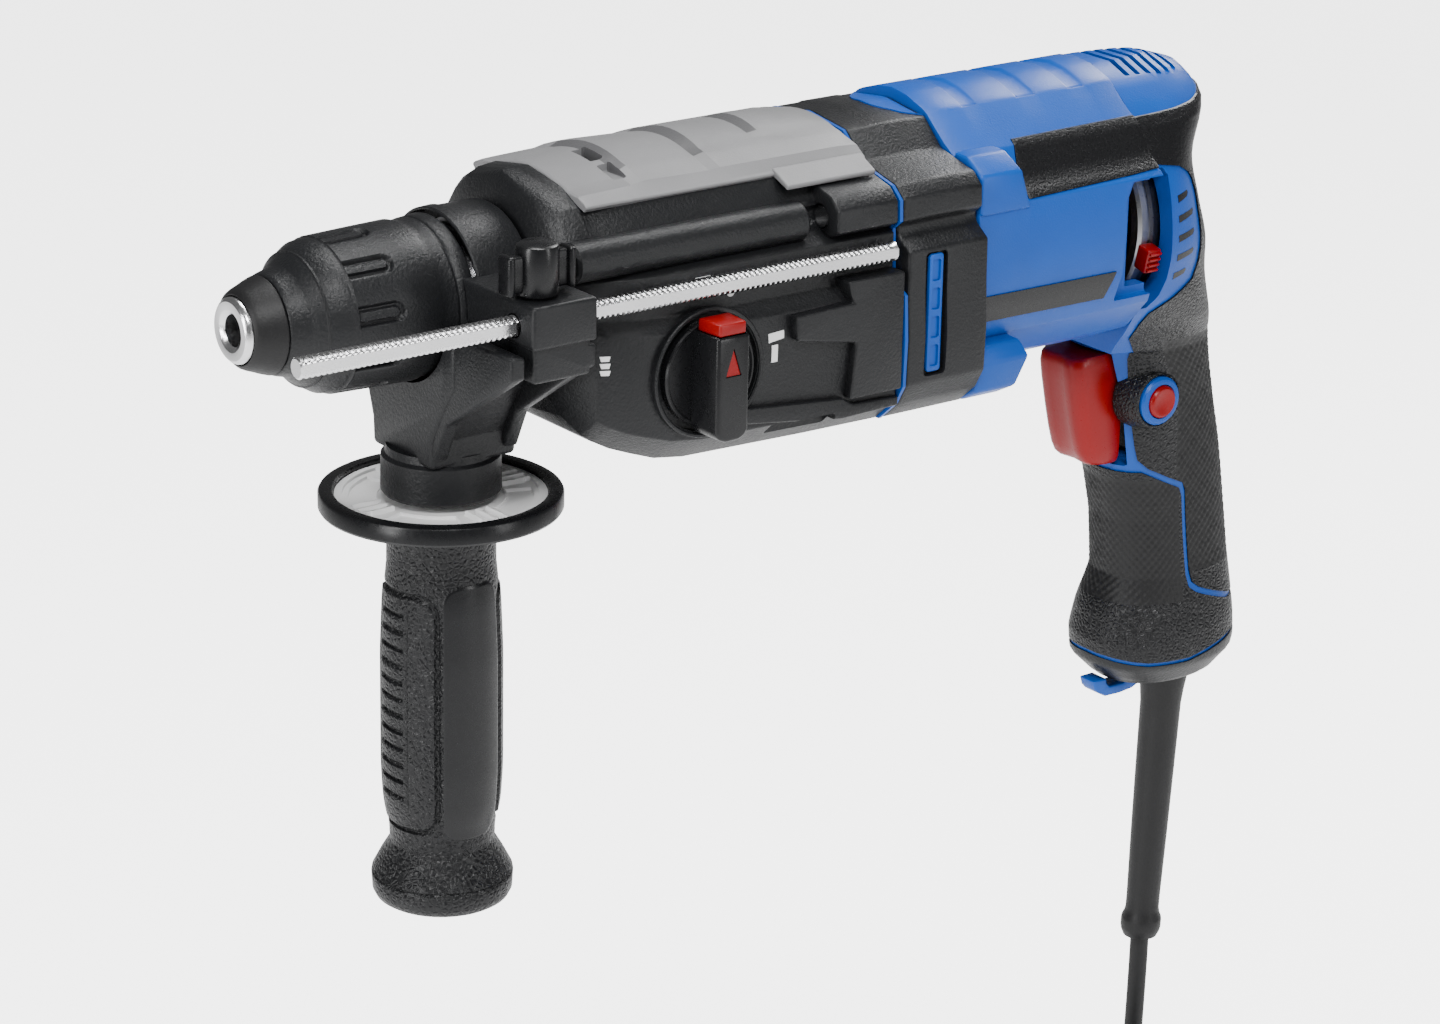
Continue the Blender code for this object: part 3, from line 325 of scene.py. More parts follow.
def slab(outline, low, high, plane):
    """A flat outline thickened from low to high: XZ along y, YZ along x, XY along z."""
    lift = LIFTS[plane]
    return skin([[lift(a, b, low) for a, b in outline], [lift(a, b, high) for a, b in outline]])


def side_slab(outline, side, near, far):
    """An outline in (x, z) thickened between two distances from the middle, on one side of the tool."""
    low, high = sorted((side * near, side * far))
    return slab(outline, low, high, "XZ")


def outward(side, points):
    return [(side * y, z) for y, z in points]


def box(low, high):
    return slab([(low[0], low[1]), (high[0], low[1]), (high[0], high[1]), (low[0], high[1])], low[2],
        high[2], "XY")


def merged(*shapes):
    """One bmesh holding all the given ones, side by side."""
    whole = bmesh.new()
    for shape in shapes:
        bmesh.ops.recalc_face_normals(shape, faces=shape.faces)
        mesh = mesh_of("part", shape)
        whole.from_mesh(mesh)
        bpy.data.meshes.remove(mesh)
    return whole


def combined(shape, tools, operation):
    """The exact boolean of a bmesh with others, one after another."""
    for tool in tools:
        for one in (shape, tool):
            bmesh.ops.recalc_face_normals(one, faces=one.faces)
        target, cutter = (linked("spare", mesh_of("spare", one)) for one in (shape, tool))
        step = target.modifiers.new("step", "BOOLEAN")
        step.operation, step.object, step.solver = operation, cutter, "EXACT"
        bpy.context.view_layer.update()
        graph = bpy.context.evaluated_depsgraph_get()
        mesh = bpy.data.meshes.new_from_object(target.evaluated_get(graph))
        shape = bmesh.new()
        shape.from_mesh(mesh)
        for obj in (target, cutter):
            bpy.data.objects.remove(obj)
        bpy.data.meshes.remove(mesh)
    return shape


def cut(shape, *tools):
    return combined(shape, tools, "DIFFERENCE")


def joined(shape, *tools):
    return combined(shape, tools, "UNION")


def rounded(shape, width, segments=3, angle=30):
    """Rounds the shape's sharp edges in place."""
    bmesh.ops.recalc_face_normals(shape, faces=shape.faces)
    edges = [e for e in shape.edges if len(e.link_faces) == 2 and e.calc_face_angle(0) > math.radians(angle)]
    bmesh.ops.bevel(shape, geom=edges, offset=width, segments=segments, profile=0.5, affect="EDGES",
        clamp_overlap=True)
    return shape


def tree_of(shape):
    return BVHTree.FromBMesh(shape)


def beside(tree, side):
    """A surface seen from the tool's side: (x, z) to the point there and the way out."""
    def surface(x, z):
        hit = tree.ray_cast(Vector((x, side * 200, z)), Vector((0, -side, 0)))[0]
        return (hit or Vector((x, side * 20, z))), Vector((0, side, 0))
    return surface


def above(tree):
    """A surface seen from above: (x, y) to the point there and the way out."""
    def surface(x, y):
        hit = tree.ray_cast(Vector((x, y, 200)), Vector((0, 0, -1)))[0]
        return (hit or Vector((x, y, 0))), Vector((0, 0, 1))
    return surface


def panel(outline, surface, height, sink=0.6, cell=(4, 4), relief=None):
    """A patch laid on a surface: its outline in the surface's two measures, raised by height."""
    shape = bmesh.new()
    shape.faces.new([shape.verts.new((a, b, 0)) for a, b in outline])
    for axis in (0, 1):
        low = min(p[axis] for p in outline)
        high = max(p[axis] for p in outline)
        normal = Vector((1, 0, 0)) if axis == 0 else Vector((0, 1, 0))
        count = max(1, math.ceil((high - low) / cell[axis]))
        for i in range(1, count):
            cutting = normal * (low + (high - low) * i / count)
            bmesh.ops.bisect_plane(shape, geom=[*shape.verts, *shape.edges, *shape.faces], dist=1e-5,
                plane_co=cutting, plane_no=normal)
    flat = {v: (v.co.x, v.co.y) for v in shape.verts}
    made = bmesh.ops.extrude_face_region(shape, geom=shape.faces[:], use_keep_orig=True)
    tops = {v for v in made["geom"] if isinstance(v, bmesh.types.BMVert)}
    for vert in shape.verts:
        a, b = flat[vert] if vert in flat else (vert.co.x, vert.co.y)
        point, out = surface(a, b)
        rise = height + (relief(a, b) if relief else 0) if vert in tops else -sink
        vert.co = point + out * rise
    return shape


def arc(middle, radius, first, last, count):
    """Points along an arc, from first to last degrees."""
    return [(middle[0] + radius * math.cos(math.radians(first + (last - first) * i / count)),
        middle[1] + radius * math.sin(math.radians(first + (last - first) * i / count)))
        for i in range(count + 1)]


def mirrored(half):
    """A whole section ring from its right half, which runs from the bottom centre to the top centre."""
    return [*half, *[(-y, z) for y, z in reversed(half[1:-1])]]


def section(x, half):
    return [(x, y, z) for y, z in mirrored(half)]


def scaled(half, width, bottom, top=1):
    return [(y * width, z * (bottom if z < 0 else top)) for y, z in half]


def round_as(half, radius):
    """A circle's half with a point at the bearing of each point of another half."""
    return [(radius * math.sin(math.atan2(y, -z)), -radius * math.cos(math.atan2(y, -z))) for y, z in half]


SIDES = (("left", -1), ("right", 1))


def mix(one, two, part):
    return one + (two - one) * part


def smooth(value):
    value = min(1, max(0, value))
    return value * value * (3 - 2 * value)


def between(points, x):
    """Straight-line interpolation in a list of (x, y)."""
    for (x0, y0), (x1, y1) in zip(points, points[1:]):
        if x <= x1:
            return mix(y0, y1, max(0, (x - x0) / (x1 - x0)))
    return points[-1][1]


def spaced(first, last, step):
    count = max(1, round((last - first) / step))
    return [first + (last - first) * i / count for i in range(count + 1)]


def hoop(outer, inner, low, high, plane):
    """A closed band between two outlines with equal numbers of points."""
    lift = LIFTS[plane]
    rings = [[lift(a, b, c) for a, b in line] for line, c in ((outer, low), (outer, high), (inner, high),
        (inner, low))]
    return skin([*rings, rings[0]], closed=False)


def rounded_box_outline(x0, y0, x1, y1, radius, count=6):
    corners = ((x1 - radius, y1 - radius, 0), (x0 + radius, y1 - radius, 90),
        (x0 + radius, y0 + radius, 180), (x1 - radius, y0 + radius, 270))
    return [p for x, y, a in corners for p in arc((x, y), radius, a, a + 90, count)]


def welded(shape):
    bmesh.ops.remove_doubles(shape, verts=shape.verts, dist=1e-4)
    return shape


# ---- cord, its hank and the plug

RELIEF_TOP, RELIEF_END = (396, -196.6), (391.5, -306)
CORD_RADIUS = 3.55
HANK_X, HANK_MIDDLE, HANK_STRAIGHT = 361, -425.4, 80
OUTER, INNER = 29.85, 22.3
FIRST_Y, PITCH, LAST_SLOT = 0.65, 7.66, 5
PLUG_X, PLUG_Y, PLUG_TOP = 387, 8.25, 492.8


def leg(side, start, end, first, last, count=8):
    """A straight of the hank; start and end are (radius, y) and first and last its heights."""
    points = []
    for i in range(1, count + 1):
        ease = smooth(i / count)
        radius, y = (mix(start[k], end[k], ease) for k in (0, 1))
        points.append((HANK_X + side * radius, y, first + (last - first) * i / count))
    return points


def bend(radius, y, lower, count=18):
    middle = HANK_MIDDLE + (-HANK_STRAIGHT / 2 if lower else HANK_STRAIGHT / 2)
    first, last = (0, -180) if lower else (180, 0)
    return [(x, y, z) for x, z in arc((HANK_X, middle), radius, first, last, count)[1:]]


def cord_line():
    """The cord's centreline: down from the relief, round the hank's outer layer and back on its inner one."""
    top, bottom = HANK_MIDDLE + HANK_STRAIGHT / 2, HANK_MIDDLE - HANK_STRAIGHT / 2
    slot_y = [FIRST_Y - PITCH * i for i in range(LAST_SLOT + 1)]
    start = (RELIEF_END[0], RELIEF_END[1] - 0.3)
    line = [(mix(start[0], HANK_X + OUTER, smooth(t)), FIRST_Y * smooth(t), mix(start[1], top, t))
        for t in (i / 10 for i in range(11))]
    for slot in range(LAST_SLOT):
        here, after = (OUTER, slot_y[slot]), (OUTER, slot_y[slot + 1])
        line += leg(1, here, here, top, bottom) + bend(*here, True)
        line += leg(-1, here, after, bottom, top) + bend(*after, False)
    line += leg(1, (OUTER, slot_y[-1]), (INNER, slot_y[-1]), top, bottom)
    for slot in range(LAST_SLOT, 0, -1):
        here, after = (INNER, slot_y[slot]), (INNER, slot_y[slot - 1])
        line += bend(*here, True) + leg(-1, here, after, bottom, top) + bend(*after, False)
        if slot > 1:
            line += leg(1, after, after, top, bottom)
    leave = HANK_MIDDLE - 9
    line += leg(1, (INNER, FIRST_Y), (INNER, FIRST_Y), top, leave, 6)
    x, end = HANK_X + INNER, -(PLUG_TOP + 5)
    for i in range(1, 15):
        t = i / 14
        line.append((mix(x, PLUG_X, smooth(1.5 * t - 0.5)), mix(FIRST_Y, PLUG_Y, smooth(1.5 * t)),
            mix(leave, end, t)))
    return line


def make_cord():
    line = cord_line()
    curve = bpy.data.curves.new("mains_cord", "CURVE")
    curve.dimensions, curve.use_fill_caps = "3D", True
    curve.bevel_depth, curve.bevel_resolution = CORD_RADIUS * MM, 5
    spline = curve.splines.new("POLY")
    spline.points.add(len(line) - 1)
    for point, place in zip(spline.points, line):
        point.co = (*world(place), 1)
    spline.use_smooth = True
    curve.materials.append(CORD_RUBBER)
    cord = linked("mains_cord", curve)
    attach(cord, "root")
    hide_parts("cord_tube", "cord_hank")

    lean = (RELIEF_END[0] - RELIEF_TOP[0]) / (RELIEF_END[1] - RELIEF_TOP[1])
    outer = [(188, 9.2), (195, 9.2), (197, 9.35), (200, 9.1), (206, 8.2), (212, 7.6), (226, 7.4), (240, 7.2),
        (265, 6.8), (290, 6.3), (295, 6.3), (297, 6.7), (298.6, 7.4), (299.6, 7.6), (302.6, 7.6), (304, 7.3),
        (306, 6.4)]
    relief = revolve([*outer, (306, CORD_RADIUS + 0.5), (188, CORD_RADIUS + 0.5)], along="DOWN", steps=48)
    for vert in relief.verts:
        vert.co.x += RELIEF_TOP[0] + lean * (vert.co.z - RELIEF_TOP[1])
    put("cord_relief", relief, RUBBER, replaces=["strain_relief"])

    at = (PLUG_X, PLUG_Y, 0)
    neck = [(PLUG_TOP + 1.2 + i * 2.6 + d, 5.3 + i * 0.22 + r) for i in range(6)
        for d, r in ((0, 0), (1.3, 0), (1.5, -0.7), (2.4, -0.7))]
    body = [(17, 7.4), (19, 9.2), (22, 13), (26, 15.6), (30, 17.2), (34, 17.7), (34.3, 17.1), (35.3, 17.1),
        (35.6, 17.8), (37, 17.9), (37.3, 17.3), (38.3, 17.3), (38.6, 18), (43.6, 18.2), (44.6, 17.9),
        (45, 17.2)]
    plug = revolve([(PLUG_TOP + 8, 0), (PLUG_TOP + 8, CORD_RADIUS + 0.4), (PLUG_TOP, CORD_RADIUS + 0.4),
        (PLUG_TOP, 4.6), (PLUG_TOP + 0.6, 5.2), *neck, *[(PLUG_TOP + s, r) for s, r in body],
        (PLUG_TOP + 45, 0)], at, "DOWN", 64)
    plug_piece = put("plug_body", plug, RUBBER, replaces=["mains_plug"])
    pins = [solid_turn([(PLUG_TOP + 44.9, 2.4), (PLUG_TOP + 54, 2.4), (PLUG_TOP + 54.3, 2.2),
        (PLUG_TOP + 62, 2.2), (PLUG_TOP + 63.4, 1.8), (PLUG_TOP + 64, 1.1)],
        at=(PLUG_X + s * 9.5, PLUG_Y, 0), along="DOWN", steps=24) for s in (-1, 1)]
    pin_piece = put("plug_pins", merged(*pins), STEEL)

    low, high = FIRST_Y - PITCH * LAST_SLOT - CORD_RADIUS, FIRST_Y + CORD_RADIUS
    reach = OUTER + CORD_RADIUS
    outline = [rounded_box_outline(HANK_X - reach - g, low - g, HANK_X + reach + g, high + g, 3 + g)
        for g in (1.6, 0.3)]
    band = hoop(*outline, HANK_MIDDLE - 6.6, HANK_MIDDLE + 6.6, "XY")
    tab = rounded(box((HANK_X - 16, low - 3, HANK_MIDDLE - 6), (HANK_X + 14, low - 1.62, HANK_MIDDLE + 6)),
        0.5)
    tie = put("hank_tie", merged(band, tab), BLACK, bevel=0.3, replaces=["cord_tie"])


# ---- chuck

GROOVES = 10
GROOVE_TURN = math.radians(168)
SLEEVE_OUTER = [(12.3, 15.2), (12.7, 15.7), (14, 16.2), (18.2, 17.3), (18.9, 17.9), (22.5, 20.9),
    (27.5, 23.8), (30.2, 24.2), (30.9, 24.3), (31.3, 24.7), (47, 25.2), (59.6, 25.5), (60.4, 25.2),
    (63.3, 24.7), (66.4, 25.2), (66.8, 24.9), (67.4, 24.9), (67.8, 25.3), (72.2, 25.7), (72.8, 25.3)]


def groove_depth(x, radius, angle):
    """The sleeve's finger grooves, each with a bar standing in it."""
    step = 2 * math.pi / GROOVES
    off = (angle - GROOVE_TURN + step / 2) % step - step / 2
    across = radius * off
    outer = math.hypot(across, max(0, x - 44.6))
    inner = math.hypot(across, max(0, x - 44.4))
    front = smooth((x - 31.2) / 0.6)
    return front * (1.5 * smooth((3.4 - outer) / 0.6) - 1.25 * smooth((1.9 - inner) / 0.5))


def make_chuck():
    def key_slots(station, radius, angle):
        key = abs(math.sin(angle)) * radius < 1.35 and radius < 5.2 and 2 < station < 50
        return station, 7 if key else radius

    holder = [(0, 9.2), (0.3, 9.6), (0.9, 10.2), (1.6, 10.5), (9.5, 10.5), (9.5, 12.4), (95.5, 12.4),
        (95.5, 15), (168, 15), (168, 12), (98, 12), (98, 8.2), (72, 8.2), (70, 5.1), (50.1, 5.1),
        (49.9, 5.1), (2.2, 5.1), (1.9, 5.1), (1.4, 5.1), (0.2, 6.3), (0, 6.8)]
    put("bit_socket", revolve(holder, steps=96, tweak=key_slots), STEEL, "spindle", ["tool_holder"])
    cap = [(2.2, 11.2), (2.5, 11.6), (3.2, 12.3), (4.6, 13), (6.8, 13.8), (9, 14.7), (10.5, 15.2),
        (11.4, 15.5), (11.8, 15.4), (11.8, 12.8), (9.1, 12.8), (9.1, 10.9), (2.2, 10.9)]
    put("dust_cover", revolve(cap, steps=96), RUBBER, "spindle", ["dust_cap"])

    fine = sorted({x for x, _ in SLEEVE_OUTER} | set(spaced(31.4, 50, 0.5)))
    outer = [(x, between(SLEEVE_OUTER, x)) for x in fine]
    loop = [*outer, (72.8, 21.3), (22.5, 21.3), (19, 13.3), (12.3, 13.3)]

    def grooved(x, radius, angle):
        return x, radius - groove_depth(x, radius, angle) if 31 < x < 50 and radius > 23 else radius

    put("grip_sleeve", revolve(loop, steps=320, tweak=grooved), BLACK, "chuck_sleeve", ["chuck_sleeve"],
        sharp=40)


# ---- side handle

SIDE_X = 76.3
ROD_Y, ROD_Z, ROD_RADIUS = -51.5, 3.5, 3.4
WING_X, WING_Z = 77.5, 12


def make_bracket():
    stem = slab([(-30, -22), (-24, -31), (-17.5, -43), (-17, -52), (17, -52), (17.5, -43), (22, -29),
        (25, -6), (-30, -6)], 61.4, 93.6, "YZ")
    collar = [(73.8, 26.9), (74.3, 27.3), (78, 27.5), (80, 27), (93.4, 27), (94.2, 26.5)]
    hub = [(49.5, 17.6), (52, 18), (53, 19.2), (64.4, 19.4), (65.3, 18.8)]
    ribs = [slab([(-60.5, -11), (-60.5, -4), (-26, -4), (-16, -46), (-18, -49), (-24.5, -35)], x, x + 5.2,
        "YZ") for x in (62, 88.2)]
    body = joined(rounded(stem, 1.8), solid_turn(collar, steps=96),
        rounded(box((69, -62, -2.5), (93, -20, 11.4)), 1.3),
        rounded(box((70.4, -60.4, -13.6), (91.6, -20.5, 0)), 1.3), *[rounded(rib, 0.9) for rib in ribs],
        solid_turn(hub, (SIDE_X, 0, 0), "DOWN", 80))
    body = cut(body, solid_turn([(50, 26.4), (78.8, 26.4), (78.8, 23.3), (110, 23.3)], steps=96),
        rod(50, 110, ROD_RADIUS + 0.5, at=(0, ROD_Y, ROD_Z), steps=40),
        rod(-20, -ROD_Z - 2, 2.9, (WING_X, ROD_Y, 0), "DOWN", 24),
        rod(10, 80, 4.6, (SIDE_X, 0, 0), "DOWN", 32))
    put("handle_clamp", welded(body), BLACK, "side_handle", ["handle_bracket"], sharp=32)


def make_rod_and_screw():
    stations, pitch = [-8, -7.5], 2
    for i in range(int((216.4 + 7.2) / pitch)):
        start = -7.2 + i * pitch
        stations += [start, start + 0.6, start + 1, start + 1.6]
    stations += [216.5, 217]
    rings = []
    for k, x in enumerate(stations):
        end = k in (0, len(stations) - 1)
        tooth = (k - 2) % 4 in (2, 3) and 2 <= k < len(stations) - 2
        ring = []
        for i in range(40):
            angle = 2 * math.pi * i / 40
            radius = ROD_RADIUS - (0.5 if end else 0)
            if tooth and abs(math.sin(angle)) > 0.5:
                radius -= 0.7
            y = max(-2.7, radius * math.cos(angle))
            ring.append((x, ROD_Y + y, ROD_Z + radius * math.sin(angle)))
        rings.append(ring)
    put("depth_gauge", skin(rings), STEEL, "depth_rod", ["depth_rod"], sharp=38)

    at = (WING_X, ROD_Y, WING_Z)
    screw = solid_turn([(-16.5, 5.4), (-15.9, 6.4), (-14.6, 6.8), (-1, 6.8), (-0.4, 6.4), (-0.4, 2.5),
        (4.6, 2.5)], at, "DOWN", 64)
    for way in (-1, 1):
        low, high = sorted((WING_X + way * 5, WING_X + way * 11.6))
        wing = rounded(box((low, ROD_Y - 1.9, WING_Z + 1.6), (high, ROD_Y + 1.9, WING_Z + 13.4)), 1)
        low, high = sorted((WING_X + way * 9.8, WING_X + way * 12.4))
        grip = rounded(box((low, ROD_Y - 3.4, WING_Z + 1.2), (high, ROD_Y + 3.4, WING_Z + 14)), 1.1)
        screw = joined(screw, wing, grip)
    put("rod_clamp_screw", welded(screw), BLACK_SMOOTH, "wing_screw", ["rod_wing_screw"], sharp=40)


def make_guard():
    at = (SIDE_X, 0, 0)

    def pocketed(station, radius, angle):
        if station > 67 or radius > 33.2:
            return station, radius
        across = math.degrees(angle) % 90
        if 20.9 < radius < 29.6 and 20 < across < 70:
            return 68.4, radius
        off = radius * math.radians(min(across, 90 - across))
        if 20.9 < radius < 31.5 and (off < 0.9 or 3.2 < off < 4.6):
            return 66, radius
        return (67.4 if radius < 31.5 else 66.4), radius

    radii = [20.4, 20.6, 20.88, 20.92, 23, 26, 29, 29.55, 29.65, 31.45, 31.55, 33, 33.6, 34]
    loop = [*[(66.6, r) for r in radii], (69.5, 34), (69.5, 9.2), (67.8, 9.2), (67.8, 20.4)]
    put("guard_plate", revolve(loop, at, "DOWN", 360, pocketed), WHITE, "side_grip", ["guard_disc"],
        sharp=25)
    rim = [(65.6, 34.3), (65, 34.8), (64.8, 36), (64.8, 38), (65.3, 38.9), (66, 39.3), (70.4, 39.3),
        (71.2, 38.8), (71.5, 38), (71.3, 35), (71, 34.3)]
    put("guard_rubber", revolve(rim, at, "DOWN", 120), BLACK_SMOOTH, "side_grip", ["guard_rim"])


GRIP_OUTER = [(71.8, 18.6), (73.4, 18.9), (80, 17.6), (90, 17.7), (100, 18.8), (120, 19.6), (160, 19.6),
    (172, 18.9), (180, 17.3), (186, 17.2), (191, 20.2), (196.6, 23.1), (197.2, 22.7), (197.8, 23.3),
    (203, 23), (205, 22), (206, 20.5)]


def in_rounded(u, v, half_u, low, high, corner):
    """How far a point lies inside a rounded rectangle, in mm; below zero outside it."""
    middle, half_v = (low + high) / 2, (high - low) / 2
    du, dv = abs(u) - half_u + corner, abs(v - middle) - half_v + corner
    return corner - math.hypot(max(du, 0), max(dv, 0)) - min(max(du, dv), 0)


def make_side_grip():
    at = (SIDE_X, 0, 0)

    def regions(station, angle):
        bearing = (90 - math.degrees(angle)) % 360
        front = min(abs(bearing - 180), 360 - abs(bearing - 180), bearing, 360 - bearing)
        side = min(abs(bearing - 90), abs(bearing - 270))
        mm = math.radians(1) * 19
        return (in_rounded(front * mm, station, 53 * mm, 96.5, 178, 7),
            in_rounded(side * mm, station, 33 * mm, 92.6, 181, 6), front)

    def tweak(station, radius, angle):
        if radius < 15 or not 90 < station < 184:
            return station, radius
        radius = sum(between(GRIP_OUTER, station + d) for d in (-3, -1.5, 0, 1.5, 3)) / 5
        pad, side, front = regions(station, angle)
        rise = -0.9 * smooth((1.1 - abs(pad)) / 0.7) + 0.35 * smooth(pad / 1.2) + 0.45 * smooth(side / 0.8)
        if front < 24 and 100 < station < 169.5:
            part = (station - 103.6) / 5.7
            across = abs(part - round(part)) * 5.7
            rise -= 1 * smooth((0.95 - across) / 0.6) * smooth((18 - front) / 1.5)
            rise -= 0.35 * smooth((1.2 - abs(front - 22)) / 1)
        return station, radius + rise

    stations = sorted({s for s, _ in GRIP_OUTER} | set(spaced(90.6, 184, 0.55)))
    loop = [*[(s, between(GRIP_OUTER, s)) for s in stations], (206, 12.3), (71.8, 12.3)]
    shape = revolve(loop, at, "DOWN", 240, tweak)
    for face in shape.faces:
        middle = face.calc_center_median()
        side = regions(-middle.z, math.atan2(middle.x - SIDE_X, middle.y))[1]
        face.material_index = 1 if side > 0.4 else 0
    put("rubber_grip", shape, [LEATHER, BLACK_SMOOTH], "side_grip", ["side_grip"], sharp=50)


# ---- gear housing, cover and flange

HOUSING_HALF = [(0, -57), (40, -57), (50, -48), (50.5, -25), (50, -11), (46.5, -6), (46.5, 8), (38, 12),
    (37, 20), (31, 28.3), (20, 32.3), (0, 32.3)]
FLANGE_HALF = [(0, -57), (42, -57), (50, -50), (54, -43), (54.5, -27), (53.6, -12), (53.4, 2.2), (47.4, 6.4),
    (46.6, 9.4), (49.8, 12), (49.5, 19), (45, 23), (28, 27), (18.8, 35.6), (0, 38)]
MOTOR_HALF = [(0, -56.5), (18, -54.5), (33, -47.5), (43, -36), (48, -22), (49, -8), (47.5, 10), (39, 16),
    (33.5, 25), (28, 28.5), (18.6, 36.4), (0, 41.5)]
BOSS_Y, BOSS_Z = 40, 15.5
KNOB_X, KNOB_Z = 144, -25
MOTOR_Z = -14


def blended(one, two, part):
    return [(mix(a, c, part), mix(b, d, part)) for (a, b), (c, d) in zip(one, two)]


def crowned(half, top):
    """A housing section whose roof is arched up to a height, where the cover leaves it bare."""
    (shoulder_y, shoulder_z), (edge_y, _) = half[-3], half[-2]
    return [*half[:-3], (shoulder_y, shoulder_z + 0.8), (edge_y, (top + shoulder_z) / 2 + 1.3), (0, top)]


def housing_base():
    small, mid = scaled(HOUSING_HALF, 0.86, 0.76, 0.98), scaled(HOUSING_HALF, 0.97, 0.90)
    ring = round_as(HOUSING_HALF, 36)
    stations = [(96, round_as(HOUSING_HALF, 28.6)), (98.7, round_as(HOUSING_HALF, 35.2)), (99.6, ring),
        (102.5, crowned(blended(ring, small, 0.62), 36.2)), (106, crowned(small, 36.3)),
        (109.6, crowned(blended(small, mid, 0.33), 36.3)), (110.2, blended(small, mid, 0.36)),
        (115, blended(small, mid, 0.68)), (122, mid), (131, blended(mid, HOUSING_HALF, 0.55)),
        (142, scaled(HOUSING_HALF, 1, 0.98)), (190, HOUSING_HALF), (220.4, scaled(HOUSING_HALF, 1.02, 1))]
    return skin([section(x, half) for x, half in stations])


def make_gear_housing():
    base = housing_base()
    bare = tree_of(base)
    body = joined(rounded(base, 1.3, angle=24), rod(78.8, 100, 21.5, steps=96))
    for _, side in SIDES:
        start, at = 97 if side < 0 else 126, (0, side * BOSS_Y, BOSS_Z)
        boss = solid_turn([(start, 5.6), (start + 1, 6.5), (186, 6.5), (187, 5.7)], at=at, steps=40)
        block = outward(side, [(34, 10), (44.8, 9.3), (49.8, 11.8), (49.5, 19.1), (45.2, 23.1), (34, 26)])
        plate = [(197, -3.3), (198.4, -8.5), (199.6, -10.7), (176, -11.7), (176.7, -19.8), (200.9, -24.4),
            (198.7, -43.3), (220.3, -43.4), (220.3, -3.3)]
        ledge = [(156, -39.2), (197, -42.8), (201.5, -45.6), (220.3, -46.2), (220.3, -49.5), (197, -50),
            (157, -44.5)]
        body = joined(body, boss, rounded(slab(block, 195.5, 220.3, "YZ"), 1),
            rounded(side_slab(plate, side, 40, 54.2), 1), rounded(side_slab(ledge, side, 40, 52.6), 0.9))
        low, high = sorted((side * 45.4, side * 60))
        bore = [(187, 4.2), (200.2, 4.2), (200.2, 2.5), (222, 2.5)]
        body = cut(body, rounded(box((170, low, -57.5), (194, high, -47.2)), 0.8),
            solid_turn(bore, at=at, steps=32))
    cavity = skin([section(x, scaled(HOUSING_HALF, 0.9 * w, 0.92 * b, 0.9))
        for x, w, b in ((101.5, 0.74, 0.6), (118, 0.93, 0.86), (140, 0.99, 0.97), (222, 1, 1))])
    seat = [(-60, 19.5), (-48.2, 19.5), (-48.2, 6.2), (-30, 6.2)]
    body = cut(body, rod(70, 106, 18.6, steps=80), cavity, solid_turn(seat, (KNOB_X, 0, KNOB_Z), "Y", 72))
    put("gear_case", welded(body), BLACK, replaces=["gear_housing"], sharp=28)
    make_side_marks(bare)


def make_side_marks(tree):
    """The dial's surround and the generic pictograms of the three modes."""
    surround = revolve([(-51.2, 20.4), (-50.9, 19.9), (-49, 19.9), (-49, 21.4), (-50.9, 21.4), (-51.2, 21)],
        (KNOB_X, 0, KNOB_Z), "Y", 96)
    put("dial_surround", surround, BLACK)
    marks = [[(167.6, -16.6), (173.8, -16.2), (173.8, -18.8), (167.8, -19.6)],
        [(169, -20.6), (171.4, -20.6), (171.2, -26.2), (168.8, -26.2)],
        [(141.2, 3.2), (146.8, 3.2), (146.8, 5.4), (141.2, 5.4)],
        [(138, 3), (139.6, 3.4), (139.2, 4.8), (137.8, 4.2)]]
    marks += [[(106.6, z), (109.6, z), (109.2, z - 1.6), (107, z - 1.6)] for z in (-15.2, -17.5, -19.8)]
    side = beside(tree, -1)
    patches = [panel(outline, side, 0.22, 0.5, (3, 3)) for outline in marks]
    patches.append(panel(arc((155, -1.4), 1.5, 0, 337.5, 15), side, 0.2, 0.5, (3, 3)))
    put("mode_icons", merged(*patches), ICON_WHITE)


COVER_BANDS = [(109.5, 36), (110.2, 36.5), (114, 36.9), (128, 37.8), (130, 37.9), (134, 39.6), (138, 39.8),
    (158, 38.7), (160.5, 38.6), (164.5, 40.2), (169, 40.4), (184, 39.6), (186.5, 39.6), (190.5, 40.8),
    (195, 40.9), (212, 39.6), (216, 39), (220.2, 38.4)]


